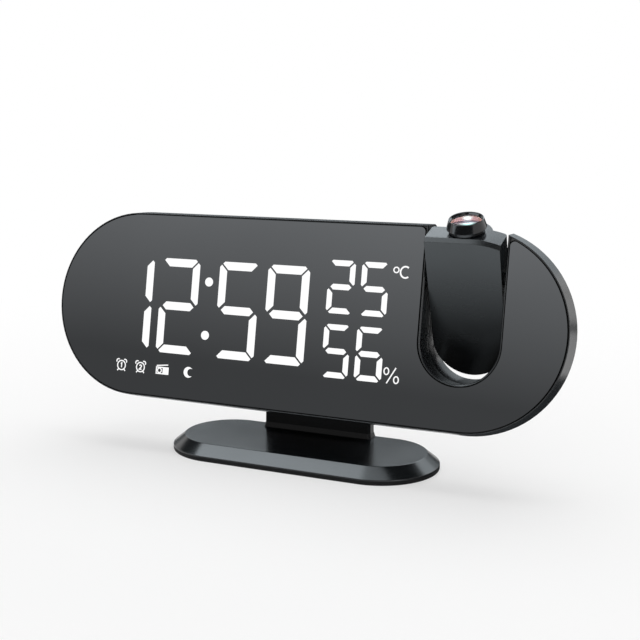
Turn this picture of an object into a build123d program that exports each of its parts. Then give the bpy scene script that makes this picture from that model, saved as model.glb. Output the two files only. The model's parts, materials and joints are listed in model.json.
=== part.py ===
from build123d import *
import os
from math import sqrt

os.makedirs("parts", exist_ok=True)

# Projection alarm clock, in millimetres. The origin is the centre of the base's underside, +Z is up,
# +X is to the right of somebody facing the display and -Y points towards them.
# The casing is drawn in its own frame: x across, y the depth behind the front of the mirror, z the
# height above the mirror's lowest edge. CASING then leans it back and lifts it on to the neck.

# ---- base and neck ----
BASE_LENGTH = 104.5
BASE_WIDTH = 43.6
PAD_THICK = 1.5
BASE_HEIGHT = 5.6
BASE_LIP = 0.5          # upright edge of the cover, under its chamfer
BASE_CHAMFER = 4.5      # how far the flat top is set in
BASE_ROOF = 1.5
WEIGHT_MARGIN = 4.2     # from the edge of the base to the steel weight
WEIGHT_GAP = 0.15
NECK_INSET = 4.6        # from the neck's back face to the base's back edge
NECK_THICK = 5.2
NECK_FOOT_WIDTH = 44.8
NECK_WIDTH = 43.4
NECK_FLARE = 0.5        # how far the foot spreads, front and back
NECK_FLARE_HEIGHT = 2.0
NECK_CORNER = 1.2
TONGUE_WIDTH = 39.0
TONGUE_LENGTH = 14.0
SOCKET_GAP = 0.2
SOCKET_LOW = 24.0       # height of the socket block's underside above the table
SOCKET_WALL = 2.2
SOCKET_CORNER = 3.0

# ---- casing ----
LEAN = 11.0
CASING_REACH = 29.3     # from the mirror's lowest edge back to the neck's front face
CASING_LIFT = 21.4
MIRROR_WIDTH = 196.8
MIRROR_HEIGHT = 67.7
MIRROR_THICK = 1.5
MIRROR_BEVEL = 0.25
MIRROR_GAP = 0.25
NOTCH_CORNER = 1.5
WALL = 1.9
RIM_START = 0.2         # the frame's front edge stands this far behind the mirror's face
RIM_EDGE = 0.55         # outline there, beyond the mirror
RIM_FLARE = 1.6         # widest outline, beyond the mirror
RIM_DEPTH = 7.2
RIM_BACK = 1.1          # outline at the split, beyond the mirror
SPLIT_DEPTH = 9.0
LEDGE_WIDTH = 3.6
LEDGE_THICK = 1.2
CASING_DEPTH = 19.0
COVER_STEP = 0.7        # rear cover's outline, inside the frame's back edge
COVER_DRAFT = 1.2
COVER_ROUND = 3.0

# ---- U slot and projector pod ----
SLOT_STEP = 18.1        # from the display's right edge to the middle of the slot
SLOT_RADIUS = 13.7
SLOT_ARC_HEIGHT = 29.4
SLOT_LIP = 0.6
SLOT_BEVEL = 0.35
SLOT_RISE = 1.4         # how far the slot's bottom climbs through the rear cover
POD_GAP = 0.9
POD_DEPTH = 10.0
POD_TIP_THICK = 5.0
POD_TAPER_HEIGHT = 28.0  # how far the taper reaches above the tip
POD_PLATE = 1.6
POD_WALL = 1.5
POD_EDGE = 1.0
POD_TOP_BEVEL = 1.2
FLAT_SLOPE = 0.05        # a face that rises less than this, for its depth, counts as flat
HUMP_RADIUS = 8.5
HUMP_LENGTH = 27.0
HUMP_RUNOUT = 9.0
HUMP_RUNOUT_RADIUS = 4.25
LENS_DEPTH = 7.2        # the optical axis, behind the pod's front face
PIVOT_DEPTH = 5.2
PIVOT_HEIGHT = 52.0
POD_TURN = 29.4         # how far the pod is turned forward from flush
PIN_RADIUS = 2.2
PIN_BORE = 1.1
PIN_HEAD_RADIUS = 3.1
PIN_HEAD = 1.6
PIN_FIT = 0.05
BUSH_RADIUS = 3.0
BUSH_FLANGE_RADIUS = 3.3
BUSH_FLANGE = 0.6
WASHER = 0.4
CLIP = 0.5
CLIP_GROOVE = 0.45
SIDE_GAP = 0.05
PIN_END = 0.4

# ---- optics ----
BARREL_RADIUS = 4.9
BARREL_BORE = 4.1
BARREL_RISE = 2.2       # above the pod's top face
BARREL_LENGTH = 25.4
BARREL_FLANGE_RADIUS = 5.5
BARREL_FLANGE = 1.0
RING_FIT = 0.05
RING_RADIUS = 6.6
RING_TOP_RADIUS = 5.9
RING_HEIGHT = 4.9
RING_LIFT = 0.3
RING_CROWN = 0.7
DISH_RADIUS = 5.0
LENS_RADIUS = 4.5
LENS_THICK = 1.3
LENS_CROWN = 0.45
LENS_RECESS = 1.3
LENS_SEAT = 0.5
CONDENSER_LEDGE = 1.0
CONDENSER_HEIGHT = 3.5  # above the projector board
CONDENSER_THICK = 1.2
CONDENSER_CROWN = 0.9
SLIDE_SIZE = 5.6
SLIDE_THICK = 1.0
LED_RADIUS = 1.5
LED_HEIGHT = 2.4
LED_DOME = 1.3
PROJECTOR_BOARD = 1.2
BOARD_MARGIN = 1.0

# ---- display ----
MASK_MARGIN = 1.985     # from the display's left edge to its first digit
MASK_SPARE = 8.19       # from its last digit to its right edge
MASK_LOW = 6.8
MASK_HIGH = 60.6
MASK_THICK = 3.6
SEGMENT_GAP = 0.1
BIG_LEFT = -65.7        # middle of the first large digit
BIG_PITCH = 19.72
BIG_COLON_STEP = 24.79  # from the digit before the colon to the digit after it
BIG_LOW = 16.39
BIG_HEIGHT = 35.45
BIG_WIDTH = 16.63
BIG_STROKE = 3.19
SMALL_LEFT = 18.83
SMALL_PITCH = 12.45
SMALL_LOW = 13.6
SMALL_ROW = 22.4        # from the lower to the upper small row
SMALL_HEIGHT = 18.82
SMALL_WIDTH = 10.26
SMALL_STROKE = 2.19
STROKE_JOINT = 0.4      # half the gap between two bars at a digit's corner
MIDDLE_JOINT = 0.65     # half the gap between the upper and the lower side bars
BAR_SKEW = 0.25         # of the stroke: how far a bar's points lie towards the digit's outside
COLON_RADIUS = 1.75
COLON_SPREAD = 19.62
BOARD_THICK = 1.6
BOARD_SPACE = 1.3       # between the display board and the main board
CHIP_SIZE = 1.6
CHIP_THICK = 0.7

# ---- electronics and rear fittings ----
MAIN_LEFT = -50.0
MAIN_INSET = 0.6        # from the display's right edge to the main board's
MAIN_LOW = 8.0
MAIN_HIGH = 60.0
KEY_NAMES = ["mode", "set", "up", "down", "alarm", "radio"]
KEY_LEFT = -40.0
KEY_PITCH = 14.5
KEY_HEIGHT = 54.0
KEY_RADIUS = 3.2
KEY_PROUD = 0.9
KEY_EDGE = 0.4
KEY_GAP = 0.2
KEY_FLANGE = 0.8
KEY_FLANGE_EXTRA = 0.8
KEY_STEM_RADIUS = 1.2
KEY_TRAVEL = 0.5
SWITCH_SIZE = 4.5
SWITCH_THICK = 2.8
PLUNGER_RADIUS = 1.0
PLUNGER = 0.6
SNOOZE_LENGTH = 40.0
SNOOZE_WIDTH = 4.2
SNOOZE_DEPTH = 12.6
SNOOZE_PROUD = 0.8
SNOOZE_TRAVEL = 0.7
SNOOZE_FLANGE = 1.0
SNOOZE_LIP = 1.2
SPEAKER_INSET = 26.4    # from the mirror's left end
SPEAKER_Z = 34.0
SPEAKER_RADIUS = 14.0
SPEAKER_RIM = 1.2
SPEAKER_HEIGHT = 6.4
MAGNET_RADIUS = 8.5
MAGNET_HEIGHT = 3.2
GRILLE_RADIUS = 13.0
GRILLE_LIP = 1.5
GRILLE_LIP_THICK = 0.9
GRILLE_SLOTS = 7
GRILLE_PITCH = 3.0
GRILLE_SLOT = 1.3
GRILLE_MARGIN = 1.8
CELL_STEP = 30.0        # from the speaker to the coin cell
CELL_Z = 31.0
CELL_RADIUS = 10.0
CELL_THICK = 3.2
CELL_EDGE = 0.4
CUP_GAP = 0.6
CUP_WALL = 1.4
DOOR_RADIUS = 12.0
DOOR_THICK = 1.8
DOOR_GAP = 0.15
COIN_SLOT_LENGTH = 14.0
COIN_SLOT_WIDTH = 1.8
COIN_SLOT_DEPTH = 0.9
CONTACT_THICK = 0.3
CONTACT_WIDTH = 5.0
CONTACT_LENGTH = 15.0
SIDE_CONTACT_WIDTH = 2.5
PORT_INSET = 6.0        # from the main board's right edge to the middle of its sockets
USB_Z = 23.0
USB_WIDTH = 13.2
USB_HEIGHT = 5.8
USB_SHEET = 0.4
USB_TONGUE = 1.9
USB_TONGUE_MARGIN = 0.8  # from the shell's inside to the tongue's edge
POWER_Z = 11.0
JACK_RADIUS = 3.4
JACK_BORE = 2.85        # takes a 5.5 mm plug
JACK_BODY = 8.0
JACK_PIN = 1.0
PORT_GAP = 0.15
SENSOR_STEP = 6.0       # across, from the speaker to the climate sensor over it
SENSOR_RISE = 24.0
SENSOR_SIZE = 8.0
VENTS = 4
VENT_PITCH = 2.6
VENT_LENGTH = 8.0
VENT_WIDTH = 1.1
GLAND_INSET = 11.4      # from the mirror's right end
GLAND_Z = 18.0
GLAND_RADIUS = 2.4
GLAND_BORE = 0.9
GLAND_FLANGE = 0.8

# ---- screws ----
SCREW_RADIUS = 1.1
SCREW_HEAD_RADIUS = 2.2
SCREW_HEAD = 1.4
SCREW_EDGE = 0.45
SCREW_FIT = 0.05
POST_RADIUS = 2.9
POST_INSET = 6.2        # post centres, in from the mirror's long edges
POST_LEFT = -30.0
POST_RIGHT = 30.0
POST_GAP = 0.4          # round the posts, in the boards that they pass
BOARD_POST_INSET = 4.0
LOWER_POST_STEP = 9.5   # from the sockets to the board's standoff beside them
LOWER_POST_Z = 16.5
BOARD_SCREW_LENGTH = 5.0
DISPLAY_SCREW_LENGTH = 3.0
DISPLAY_SCREW_LEFT = -56.6
DISPLAY_SCREW_RIGHT = 10.0
POD_SCREW_SPREAD = 17.0
POD_SCREW_Z = 33.0
BASE_SCREW_SPREAD = 26.0
BASE_SCREW_LENGTH = 9.0
NECK_SCREW_SPREAD = 26.0
NECK_SCREW_RISE = 7.0   # above the tongue's shoulder
NECK_SCREW_LENGTH = 6.0
BIG = 400.0             # larger than anything here, for cutting tools

# ---- derived places ----
NECK_FRONT = BASE_WIDTH / 2 - NECK_INSET - NECK_THICK
CASING_FORWARD = CASING_REACH - NECK_FRONT
MASK_LEFT = BIG_LEFT - BIG_WIDTH / 2 - MASK_MARGIN
MASK_RIGHT = SMALL_LEFT + SMALL_PITCH + SMALL_WIDTH / 2 + MASK_SPARE
SLOT_X = MASK_RIGHT + SLOT_STEP
CASING = Location((0, -CASING_FORWARD, CASING_LIFT), (-LEAN, 0, 0))
POD = (
    CASING
    * Location((SLOT_X, PIVOT_DEPTH, PIVOT_HEIGHT), (POD_TURN, 0, 0))
    * Location((-SLOT_X, -PIVOT_DEPTH, -PIVOT_HEIGHT))
)
MID_Z = MIRROR_HEIGHT / 2
MAIN_RIGHT = MASK_RIGHT - MAIN_INSET
PORT_X = MAIN_RIGHT - PORT_INSET
SPEAKER_X = SPEAKER_INSET - MIRROR_WIDTH / 2
CELL_X = SPEAKER_X + CELL_STEP
SENSOR_X = SPEAKER_X + SENSOR_STEP
SENSOR_Z = SPEAKER_Z + SENSOR_RISE
GLAND_X = MIRROR_WIDTH / 2 - GLAND_INSET
WALL_INNER = CASING_DEPTH - WALL
COVER_GROW = RIM_BACK - COVER_STEP
POD_RADIUS = SLOT_RADIUS - POD_GAP
DISPLAY_BOARD = MIRROR_THICK + MASK_THICK
MAIN_FRONT = DISPLAY_BOARD + BOARD_THICK + BOARD_SPACE
MAIN_BACK = MAIN_FRONT + BOARD_THICK
NECK_Y = NECK_FRONT + NECK_THICK / 2
NECK_BACK = NECK_FRONT + NECK_THICK
TONGUE_FOOT = SOCKET_LOW - SOCKET_GAP
SOCKET_HIGH = TONGUE_FOOT + TONGUE_LENGTH + SOCKET_GAP + SOCKET_WALL
SOCKET_BACK = NECK_BACK + SOCKET_GAP + SOCKET_WALL
BARREL_TOP = MIRROR_HEIGHT + BARREL_RISE
BARREL_FOOT = BARREL_TOP - BARREL_LENGTH
RING_FOOT = MIRROR_HEIGHT + RING_LIFT
RING_TOP = RING_FOOT + RING_HEIGHT
POST_PLACES = [
    (x, z)
    for x in (POST_LEFT, POST_RIGHT)
    for z in (POST_INSET, MIRROR_HEIGHT - POST_INSET)
] + [(side * (MIRROR_WIDTH / 2 - POST_INSET), MID_Z) for side in (-1, 1)]


# ---- helpers ----
def at_depth(depth):
    """Drawing plane of the casing's frame: x across, y up, facing the viewer."""
    return Plane(origin=(0, depth, 0), x_dir=(1, 0, 0), z_dir=(0, -1, 0))


def slab(sketch, front, back):
    """A sketch of the casing's front view, given the depth range it fills."""
    return extrude(at_depth(back) * sketch, amount=back - front)


def stadium(grow):
    """The mirror's outline, grown by the same amount all round."""
    return Pos(0, MID_Z) * SlotOverall(MIRROR_WIDTH + 2 * grow, MIRROR_HEIGHT + 2 * grow)


def tapered(front_sketch, front, back_sketch, back):
    """A straight-sided loft between two outlines of the same kind."""
    return loft([at_depth(front) * front_sketch, at_depth(back) * back_sketch], ruled=True)


def u_shape(radius):
    """The U of the slot, open far above the casing."""
    stem = Pos(SLOT_X, SLOT_ARC_HEIGHT + MIRROR_HEIGHT / 2) * Rectangle(2 * radius, MIRROR_HEIGHT)
    return Pos(SLOT_X, SLOT_ARC_HEIGHT) * Circle(radius) + stem


def climbing_u(radius):
    """The slot through the rear cover, its bottom climbing towards the back."""
    run = CASING_DEPTH - SPLIT_DEPTH
    over = 1 + COVER_ROUND / run
    path = Vector(0, run, SLOT_RISE) * over
    return extrude(at_depth(SPLIT_DEPTH) * u_shape(radius), amount=path.length, dir=path.normalized())


def upright(radius, low, high, x=0, y=0):
    """A cylinder along Z."""
    return Pos(x, y, (low + high) / 2) * Cylinder(radius, high - low)


def along_depth(radius, front, back, x=0, z=0):
    """A cylinder along the casing's depth."""
    return slab(Pos(x, z) * Circle(radius), front, back)


def block(x_range, y_range, z_range):
    """A box between three pairs of limits."""
    size = [high - low for low, high in (x_range, y_range, z_range)]
    middle = [(high + low) / 2 for low, high in (x_range, y_range, z_range)]
    return Pos(*middle) * Box(*size)


def turned(profile):
    """A closed (radius, height) profile turned about Z."""
    outline = make_face(Polyline(*[(r, 0, z) for r, z in profile], close=True))
    return revolve(outline, Axis.Z)


def screw(length):
    """A pan-head screw along Z, the underside of its head at the origin, its shank below."""
    head = upright(SCREW_HEAD_RADIUS, 0, SCREW_HEAD)
    head = chamfer(head.edges().group_by(Axis.Z)[-1], SCREW_EDGE)
    return head + upright(SCREW_RADIUS, -length, 0)


def group(solids, place=None):
    """Several separate solids as one node."""
    placed = [place * solid for solid in solids] if place else solids
    return Compound(children=[solid for part in placed for solid in part.solids()])


# ---- base ----
def base_outline(inset, height):
    return Pos(0, 0, height) * SlotOverall(BASE_LENGTH - 2 * inset, BASE_WIDTH - 2 * inset)


def base_screw_places():
    return [(side * BASE_SCREW_SPREAD / 2, NECK_Y) for side in (-1, 1)]


def base_cover():
    lip = extrude(base_outline(0, PAD_THICK), amount=BASE_LIP)
    low = PAD_THICK + BASE_LIP
    cover = lip + loft([base_outline(0, low), base_outline(BASE_CHAMFER, BASE_HEIGHT)], ruled=True)
    depth = BASE_HEIGHT - BASE_ROOF - PAD_THICK
    cover -= extrude(base_outline(WEIGHT_MARGIN, PAD_THICK), amount=depth)
    for x, y in base_screw_places():
        cover -= upright(SCREW_RADIUS + SCREW_FIT, PAD_THICK, BASE_HEIGHT, x, y)
    return cover


def base_weight():
    top = BASE_HEIGHT - BASE_ROOF
    inset = WEIGHT_MARGIN + WEIGHT_GAP
    weight = extrude(base_outline(inset, PAD_THICK), amount=top - PAD_THICK)
    for x, y in base_screw_places():
        weight -= upright(SCREW_HEAD_RADIUS + WEIGHT_GAP, PAD_THICK, top, x, y)
    return weight


def base_pad():
    return extrude(base_outline(0, 0), amount=PAD_THICK)


def base_screws():
    under = BASE_HEIGHT - BASE_ROOF
    upside_down = [Location((x, y, under), (180, 0, 0)) for x, y in base_screw_places()]
    return group([place * screw(BASE_SCREW_LENGTH) for place in upside_down])


# ---- neck ----
def neck_section(width, thick, height):
    return Pos(0, NECK_Y, height) * RectangleRounded(width, thick, NECK_CORNER)


def neck_screw_places():
    height = TONGUE_FOOT + NECK_SCREW_RISE
    return [(side * NECK_SCREW_SPREAD / 2, height) for side in (-1, 1)]


def neck():
    foot = neck_section(NECK_FOOT_WIDTH, NECK_THICK + 2 * NECK_FLARE, BASE_HEIGHT)
    ankle_height = BASE_HEIGHT + NECK_FLARE_HEIGHT
    ankle_width = NECK_FOOT_WIDTH - 2 * NECK_FLARE
    bracket = loft([foot, neck_section(ankle_width, NECK_THICK, ankle_height)], ruled=True)
    shoulder = neck_section(NECK_WIDTH, NECK_THICK, TONGUE_FOOT)
    bracket += loft([neck_section(ankle_width, NECK_THICK, ankle_height), shoulder], ruled=True)
    bracket += extrude(neck_section(TONGUE_WIDTH, NECK_THICK, TONGUE_FOOT), amount=TONGUE_LENGTH)
    reach = BASE_SCREW_LENGTH - BASE_ROOF
    for x, y in base_screw_places():
        bracket -= upright(SCREW_RADIUS + SCREW_FIT, BASE_HEIGHT, BASE_HEIGHT + reach, x, y)
    for x, z in neck_screw_places():
        bracket -= slab(Pos(x, z) * Circle(SCREW_RADIUS + SCREW_FIT), NECK_FRONT, NECK_BACK)
    return bracket


def neck_screws():
    head_seat = SOCKET_BACK - SCREW_HEAD
    return group([
        Location((x, head_seat, z), (-90, 0, 0)) * screw(NECK_SCREW_LENGTH)
        for x, z in neck_screw_places()
    ])


# ---- casing ----
def mirror_outline(grow, bevel):
    """Stadium with the U notch, its two mouth corners rounded."""
    outline = stadium(grow) - u_shape(SLOT_RADIUS + SLOT_LIP + MIRROR_GAP / 2 + bevel)
    mouth = [
        corner
        for corner in outline.vertices()
        if abs(corner.X - SLOT_X) < 2 * SLOT_RADIUS and corner.Y > SLOT_ARC_HEIGHT + SLOT_RADIUS
        and abs(corner.X - SLOT_X) > SLOT_RADIUS
    ]
    return fillet(mouth, NOTCH_CORNER)


def mirror_panel():
    face = mirror_outline(0, 0)
    panel = tapered(mirror_outline(-MIRROR_BEVEL, MIRROR_BEVEL), 0, face, MIRROR_BEVEL)
    return panel + slab(face, MIRROR_BEVEL, MIRROR_THICK)


def front_frame():
    widest = stadium(RIM_FLARE)
    shell = tapered(stadium(RIM_EDGE), RIM_START, widest, RIM_DEPTH)
    shell += tapered(widest, RIM_DEPTH, stadium(RIM_BACK), SPLIT_DEPTH)
    lip = u_shape(SLOT_RADIUS + SLOT_LIP)
    wall = u_shape(SLOT_RADIUS + WALL)
    shell -= slab(stadium(MIRROR_GAP) - lip, 0, MIRROR_THICK)
    shell -= slab(stadium(-LEDGE_WIDTH) - wall, 0, SPLIT_DEPTH)
    shell -= slab(stadium(RIM_BACK - WALL) - wall, MIRROR_THICK + LEDGE_THICK, SPLIT_DEPTH)
    shell += frame_posts()
    shell -= slab(u_shape(SLOT_RADIUS), 0, SPLIT_DEPTH)
    shell -= tapered(
        u_shape(SLOT_RADIUS + SLOT_BEVEL), RIM_START, u_shape(SLOT_RADIUS), RIM_START + SLOT_BEVEL
    )
    for side in (-1, 1):
        shell -= across(BUSH_RADIUS, side, SLOT_RADIUS, SLOT_RADIUS + WALL)
        shell -= across(BUSH_FLANGE_RADIUS + POST_GAP, side, SLOT_RADIUS + WALL, clip_end() + PIN_END)
    return shell


def frame_posts():
    front = MIRROR_THICK + LEDGE_THICK / 2
    post = Circle(POST_RADIUS) - Circle(SCREW_RADIUS + SCREW_FIT)
    posts = Part()
    for x, z in POST_PLACES:
        posts += slab(Pos(x, z) * Circle(POST_RADIUS), front, MIRROR_THICK + LEDGE_THICK)
        posts += slab(Pos(x, z) * post, MIRROR_THICK + LEDGE_THICK, SPLIT_DEPTH)
    return posts & slab(stadium(RIM_BACK - WALL / 2), front, SPLIT_DEPTH)


def casing_solid():
    """The rear cover's outer form, before it is hollowed."""
    form = tapered(stadium(COVER_GROW), SPLIT_DEPTH, stadium(COVER_GROW - COVER_DRAFT), CASING_DEPTH)
    return fillet(form.faces().sort_by(Axis.Y)[-1].edges(), COVER_ROUND)


def draft_at(depth):
    """How far the rear cover has drawn in at a depth."""
    return COVER_DRAFT * (depth - SPLIT_DEPTH) / (CASING_DEPTH - SPLIT_DEPTH)


def casing_hollow():
    inner = COVER_GROW - WALL
    return tapered(stadium(inner), SPLIT_DEPTH, stadium(inner - draft_at(WALL_INNER)), WALL_INNER)


def socket_block(margin):
    """The neck socket, upright on the casing's sloping back, given in the casing's frame."""
    half = TONGUE_WIDTH / 2 + SOCKET_GAP + SOCKET_WALL + SOCKET_CORNER / 2 - margin
    form = block(
        (-half, half),
        (-CASING_FORWARD, SOCKET_BACK - margin),
        (SOCKET_LOW + margin, SOCKET_HIGH - margin),
    )
    form = fillet(form.edges().filter_by(Axis.Z).group_by(Axis.Y)[-1], SOCKET_CORNER)
    behind = slab(Pos(0, MID_Z) * Rectangle(BIG, BIG), SPLIT_DEPTH, BIG)
    return (CASING.inverse() * form) & behind


def tongue_pocket():
    half = TONGUE_WIDTH / 2 + SOCKET_GAP
    pocket = block(
        (-half, half),
        (NECK_FRONT - SOCKET_GAP, NECK_BACK + SOCKET_GAP),
        (0, SOCKET_HIGH - SOCKET_WALL),
    )
    return CASING.inverse() * pocket


def pocket_walls():
    half = TONGUE_WIDTH / 2 + SOCKET_GAP + SOCKET_WALL
    front = NECK_FRONT - SOCKET_GAP - SOCKET_WALL
    walls = block((-half, half), (front, SOCKET_BACK), (SOCKET_LOW, SOCKET_HIGH))
    return CASING.inverse() * walls


def rear_cover():
    outside = casing_solid()
    room = casing_hollow() - climbing_u(SLOT_RADIUS + WALL)
    room += socket_block(SOCKET_WALL) & slab(stadium(0), SPLIT_DEPTH, BIG)
    room -= pocket_walls()
    cover = outside + socket_block(0) - room
    cover += rear_posts() + battery_cup()
    cover -= climbing_u(SLOT_RADIUS)
    cover -= tongue_pocket()
    cover -= rear_openings()
    for x, z in neck_screw_places():
        hole = Pos(x, 0, z) * Rot(-90, 0, 0) * upright(SCREW_RADIUS + SCREW_FIT, NECK_BACK, SOCKET_BACK)
        sink = Pos(x, 0, z) * Rot(-90, 0, 0) * upright(
            SCREW_HEAD_RADIUS + SCREW_FIT, SOCKET_BACK - SCREW_HEAD, SOCKET_BACK + SOCKET_WALL
        )
        cover -= CASING.inverse() * (hole + sink)
    return cover


def rear_posts():
    """Screw posts to the front frame and standoffs for the main board."""
    posts = Part()
    for x, z in POST_PLACES:
        posts += along_depth(POST_RADIUS, SPLIT_DEPTH, WALL_INNER + WALL / 2, x, z)
    posts &= casing_solid()
    for x, z in board_screw_places():
        posts += along_depth(POST_RADIUS, MAIN_BACK, WALL_INNER + WALL / 2, x, z)
    return posts


def battery_cup():
    floor = WALL_INNER - CELL_THICK - CUP_WALL
    return along_depth(CELL_RADIUS + CUP_GAP + CUP_WALL, floor, WALL_INNER + WALL / 2, CELL_X, CELL_Z)


def rear_openings():
    """Everything that goes through the back wall."""
    cut = Part()
    through = (WALL_INNER - WALL, CASING_DEPTH + WALL)
    for index in range(len(KEY_NAMES)):
        cut += along_depth(KEY_RADIUS + KEY_GAP, *through, key_x(index), KEY_HEIGHT)
    cut += along_depth(GRILLE_RADIUS + DOOR_GAP, *through, SPEAKER_X, SPEAKER_Z)
    cell_floor = WALL_INNER - CELL_THICK - CONTACT_THICK
    cut += along_depth(CELL_RADIUS + CUP_GAP, cell_floor, CASING_DEPTH, CELL_X, CELL_Z)
    door_seat = CASING_DEPTH - DOOR_THICK
    cut += along_depth(DOOR_RADIUS + DOOR_GAP, door_seat, CASING_DEPTH + WALL, CELL_X, CELL_Z)
    usb = Rectangle(USB_WIDTH + 2 * PORT_GAP, USB_HEIGHT + 2 * PORT_GAP)
    cut += slab(Pos(PORT_X, USB_Z) * usb, *through)
    cut += along_depth(JACK_RADIUS + PORT_GAP, *through, PORT_X, POWER_Z)
    for index in range(VENTS):
        height = SENSOR_Z + (index - (VENTS - 1) / 2) * VENT_PITCH
        cut += slab(Pos(SENSOR_X, height) * SlotOverall(VENT_LENGTH, VENT_WIDTH), *through)
    cut += along_depth(GLAND_RADIUS, *through, GLAND_X, GLAND_Z)
    for x, z in POST_PLACES:
        cut += along_depth(SCREW_RADIUS + SCREW_FIT, SPLIT_DEPTH, CASING_DEPTH, x, z)
        cut += along_depth(SCREW_HEAD_RADIUS + SCREW_FIT, housing_seat(), CASING_DEPTH + WALL, x, z)
    for x, z in board_screw_places():
        reach = BOARD_SCREW_LENGTH - BOARD_THICK
        cut += along_depth(SCREW_RADIUS + SCREW_FIT, MAIN_BACK, MAIN_BACK + reach, x, z)
    return cut + snooze_hole()


def snooze_hole():
    length = SNOOZE_LENGTH + 2 * KEY_GAP
    width = SNOOZE_WIDTH + 2 * KEY_GAP
    return Pos(0, SNOOZE_DEPTH, MIRROR_HEIGHT) * Box(length, width, 4 * WALL)


def housing_seat():
    """Depth at which the heads of the housing screws sit."""
    return CASING_DEPTH - 2 * SCREW_HEAD


def housing_screws():
    length = housing_seat() - MIRROR_THICK - LEDGE_THICK - SCREW_HEAD
    return group(
        [Location((x, housing_seat(), z), (-90, 0, 0)) * screw(length) for x, z in POST_PLACES], CASING
    )


# ---- display ----
def seven_segments(width, height, stroke):
    """Bars a to g of one digit about its middle: name to (x, z, length, upright, outer side)."""
    side = (width - stroke) / 2
    rise = (height - stroke) / 2
    reach = BAR_SKEW * stroke - STROKE_JOINT
    across_length = 2 * (side + reach)
    upright_length = rise + reach - MIDDLE_JOINT
    upright_middle = (rise + reach + MIDDLE_JOINT) / 2
    return {
        "a": (0, rise, across_length, False, 1),
        "b": (side, upright_middle, upright_length, True, -1),
        "c": (side, -upright_middle, upright_length, True, -1),
        "d": (0, -rise, across_length, False, -1),
        "e": (-side, -upright_middle, upright_length, True, 1),
        "f": (-side, upright_middle, upright_length, True, 1),
        "g": (0, 0, 2 * side, False, 0),
    }


def bar(length, stroke, is_upright, outer):
    """A six-sided bar, its points shifted towards the digit's outside."""
    half, tip = stroke / 2, length / 2
    point = outer * BAR_SKEW * stroke
    over, under = tip - half + point, tip - half - point
    points = [(-tip, point), (-over, half), (over, half), (tip, point), (under, -half), (-under, -half)]
    face = make_face(Polyline(*points, close=True))
    return Rot(0, 0, 90) * face if is_upright else face


LIT = {"1": "bc", "2": "abged", "5": "afgcd", "9": "abcdfg", "6": "acdefg"}


def digits():
    """Each digit as (x, z, width, height, stroke, figure shown)."""
    after_colon = BIG_LEFT + BIG_PITCH + BIG_COLON_STEP
    big_middle = BIG_LOW + BIG_HEIGHT / 2
    small_middle = SMALL_LOW + SMALL_HEIGHT / 2
    big_places = [BIG_LEFT, BIG_LEFT + BIG_PITCH, after_colon, after_colon + BIG_PITCH]
    found = [
        (x, big_middle, BIG_WIDTH, BIG_HEIGHT, BIG_STROKE, figure)
        for x, figure in zip(big_places, "1259")
    ]
    for row, figures in enumerate(("56", "25")):
        for column, figure in enumerate(figures):
            x = SMALL_LEFT + column * SMALL_PITCH
            z = small_middle + row * SMALL_ROW
            found.append((x, z, SMALL_WIDTH, SMALL_HEIGHT, SMALL_STROKE, figure))
    return found


def segment_sketches(shrink, wanted):
    """Sketches of the bars: all of them, the lit ones or the dark ones."""
    found = []
    for x, z, width, height, stroke, figure in digits():
        for name, (dx, dz, length, *form) in seven_segments(width, height, stroke).items():
            lit = name in LIT[figure]
            if wanted in ("all", "lit" if lit else "dark"):
                shape = bar(length - 2 * shrink, stroke - 2 * shrink, *form)
                found.append(Pos(x + dx, z + dz) * shape)
    if wanted != "dark":
        middle = BIG_LEFT + BIG_PITCH + BIG_COLON_STEP / 2
        for side in (-1, 1):
            z = BIG_LOW + BIG_HEIGHT / 2 + side * COLON_SPREAD / 2
            found.append(Pos(middle, z) * Circle(COLON_RADIUS - shrink))
    return found


def notched_plate(left, right, low, high):
    """A rectangular board, notched round the housing's posts."""
    plate = Pos((right + left) / 2, (high + low) / 2) * Rectangle(right - left, high - low)
    for x, z in POST_PLACES:
        plate -= Pos(x, z) * Circle(POST_RADIUS + POST_GAP)
    return plate & stadium(-LEDGE_WIDTH - POST_GAP)


def display_mask():
    plate = notched_plate(MASK_LEFT, MASK_RIGHT, MASK_LOW, MASK_HIGH)
    mask = slab(plate, MIRROR_THICK, DISPLAY_BOARD)
    windows = [slab(face, MIRROR_THICK, DISPLAY_BOARD) for face in segment_sketches(0, "all")]
    mask = mask.cut(*windows)
    reach = DISPLAY_SCREW_LENGTH - BOARD_THICK
    for x, z in display_screw_places():
        mask -= along_depth(SCREW_RADIUS + SCREW_FIT, DISPLAY_BOARD - reach, DISPLAY_BOARD, x, z)
    return mask


def display_segments(wanted):
    back = DISPLAY_BOARD - CHIP_THICK - SEGMENT_GAP
    return group([slab(face, MIRROR_THICK, back) for face in segment_sketches(SEGMENT_GAP, wanted)], CASING)


def display_leds():
    chips = []
    for face in segment_sketches(SEGMENT_GAP, "all"):
        x, z = face.center().X, face.center().Y
        chip = Pos(x, z) * Rectangle(CHIP_SIZE, CHIP_SIZE)
        chips.append(slab(chip, DISPLAY_BOARD - CHIP_THICK, DISPLAY_BOARD))
    return group(chips, CASING)


def display_screw_places():
    heights = MASK_LOW + BOARD_POST_INSET / 2, MASK_HIGH - BOARD_POST_INSET / 2
    return [(x, z) for x in (DISPLAY_SCREW_LEFT, DISPLAY_SCREW_RIGHT) for z in heights]


def display_board():
    plate = notched_plate(MASK_LEFT, MASK_RIGHT, MASK_LOW, MASK_HIGH)
    board = slab(plate, DISPLAY_BOARD, DISPLAY_BOARD + BOARD_THICK)
    for x, z in display_screw_places():
        board -= along_depth(SCREW_RADIUS + SCREW_FIT, DISPLAY_BOARD, DISPLAY_BOARD + BOARD_THICK, x, z)
    return board


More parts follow.
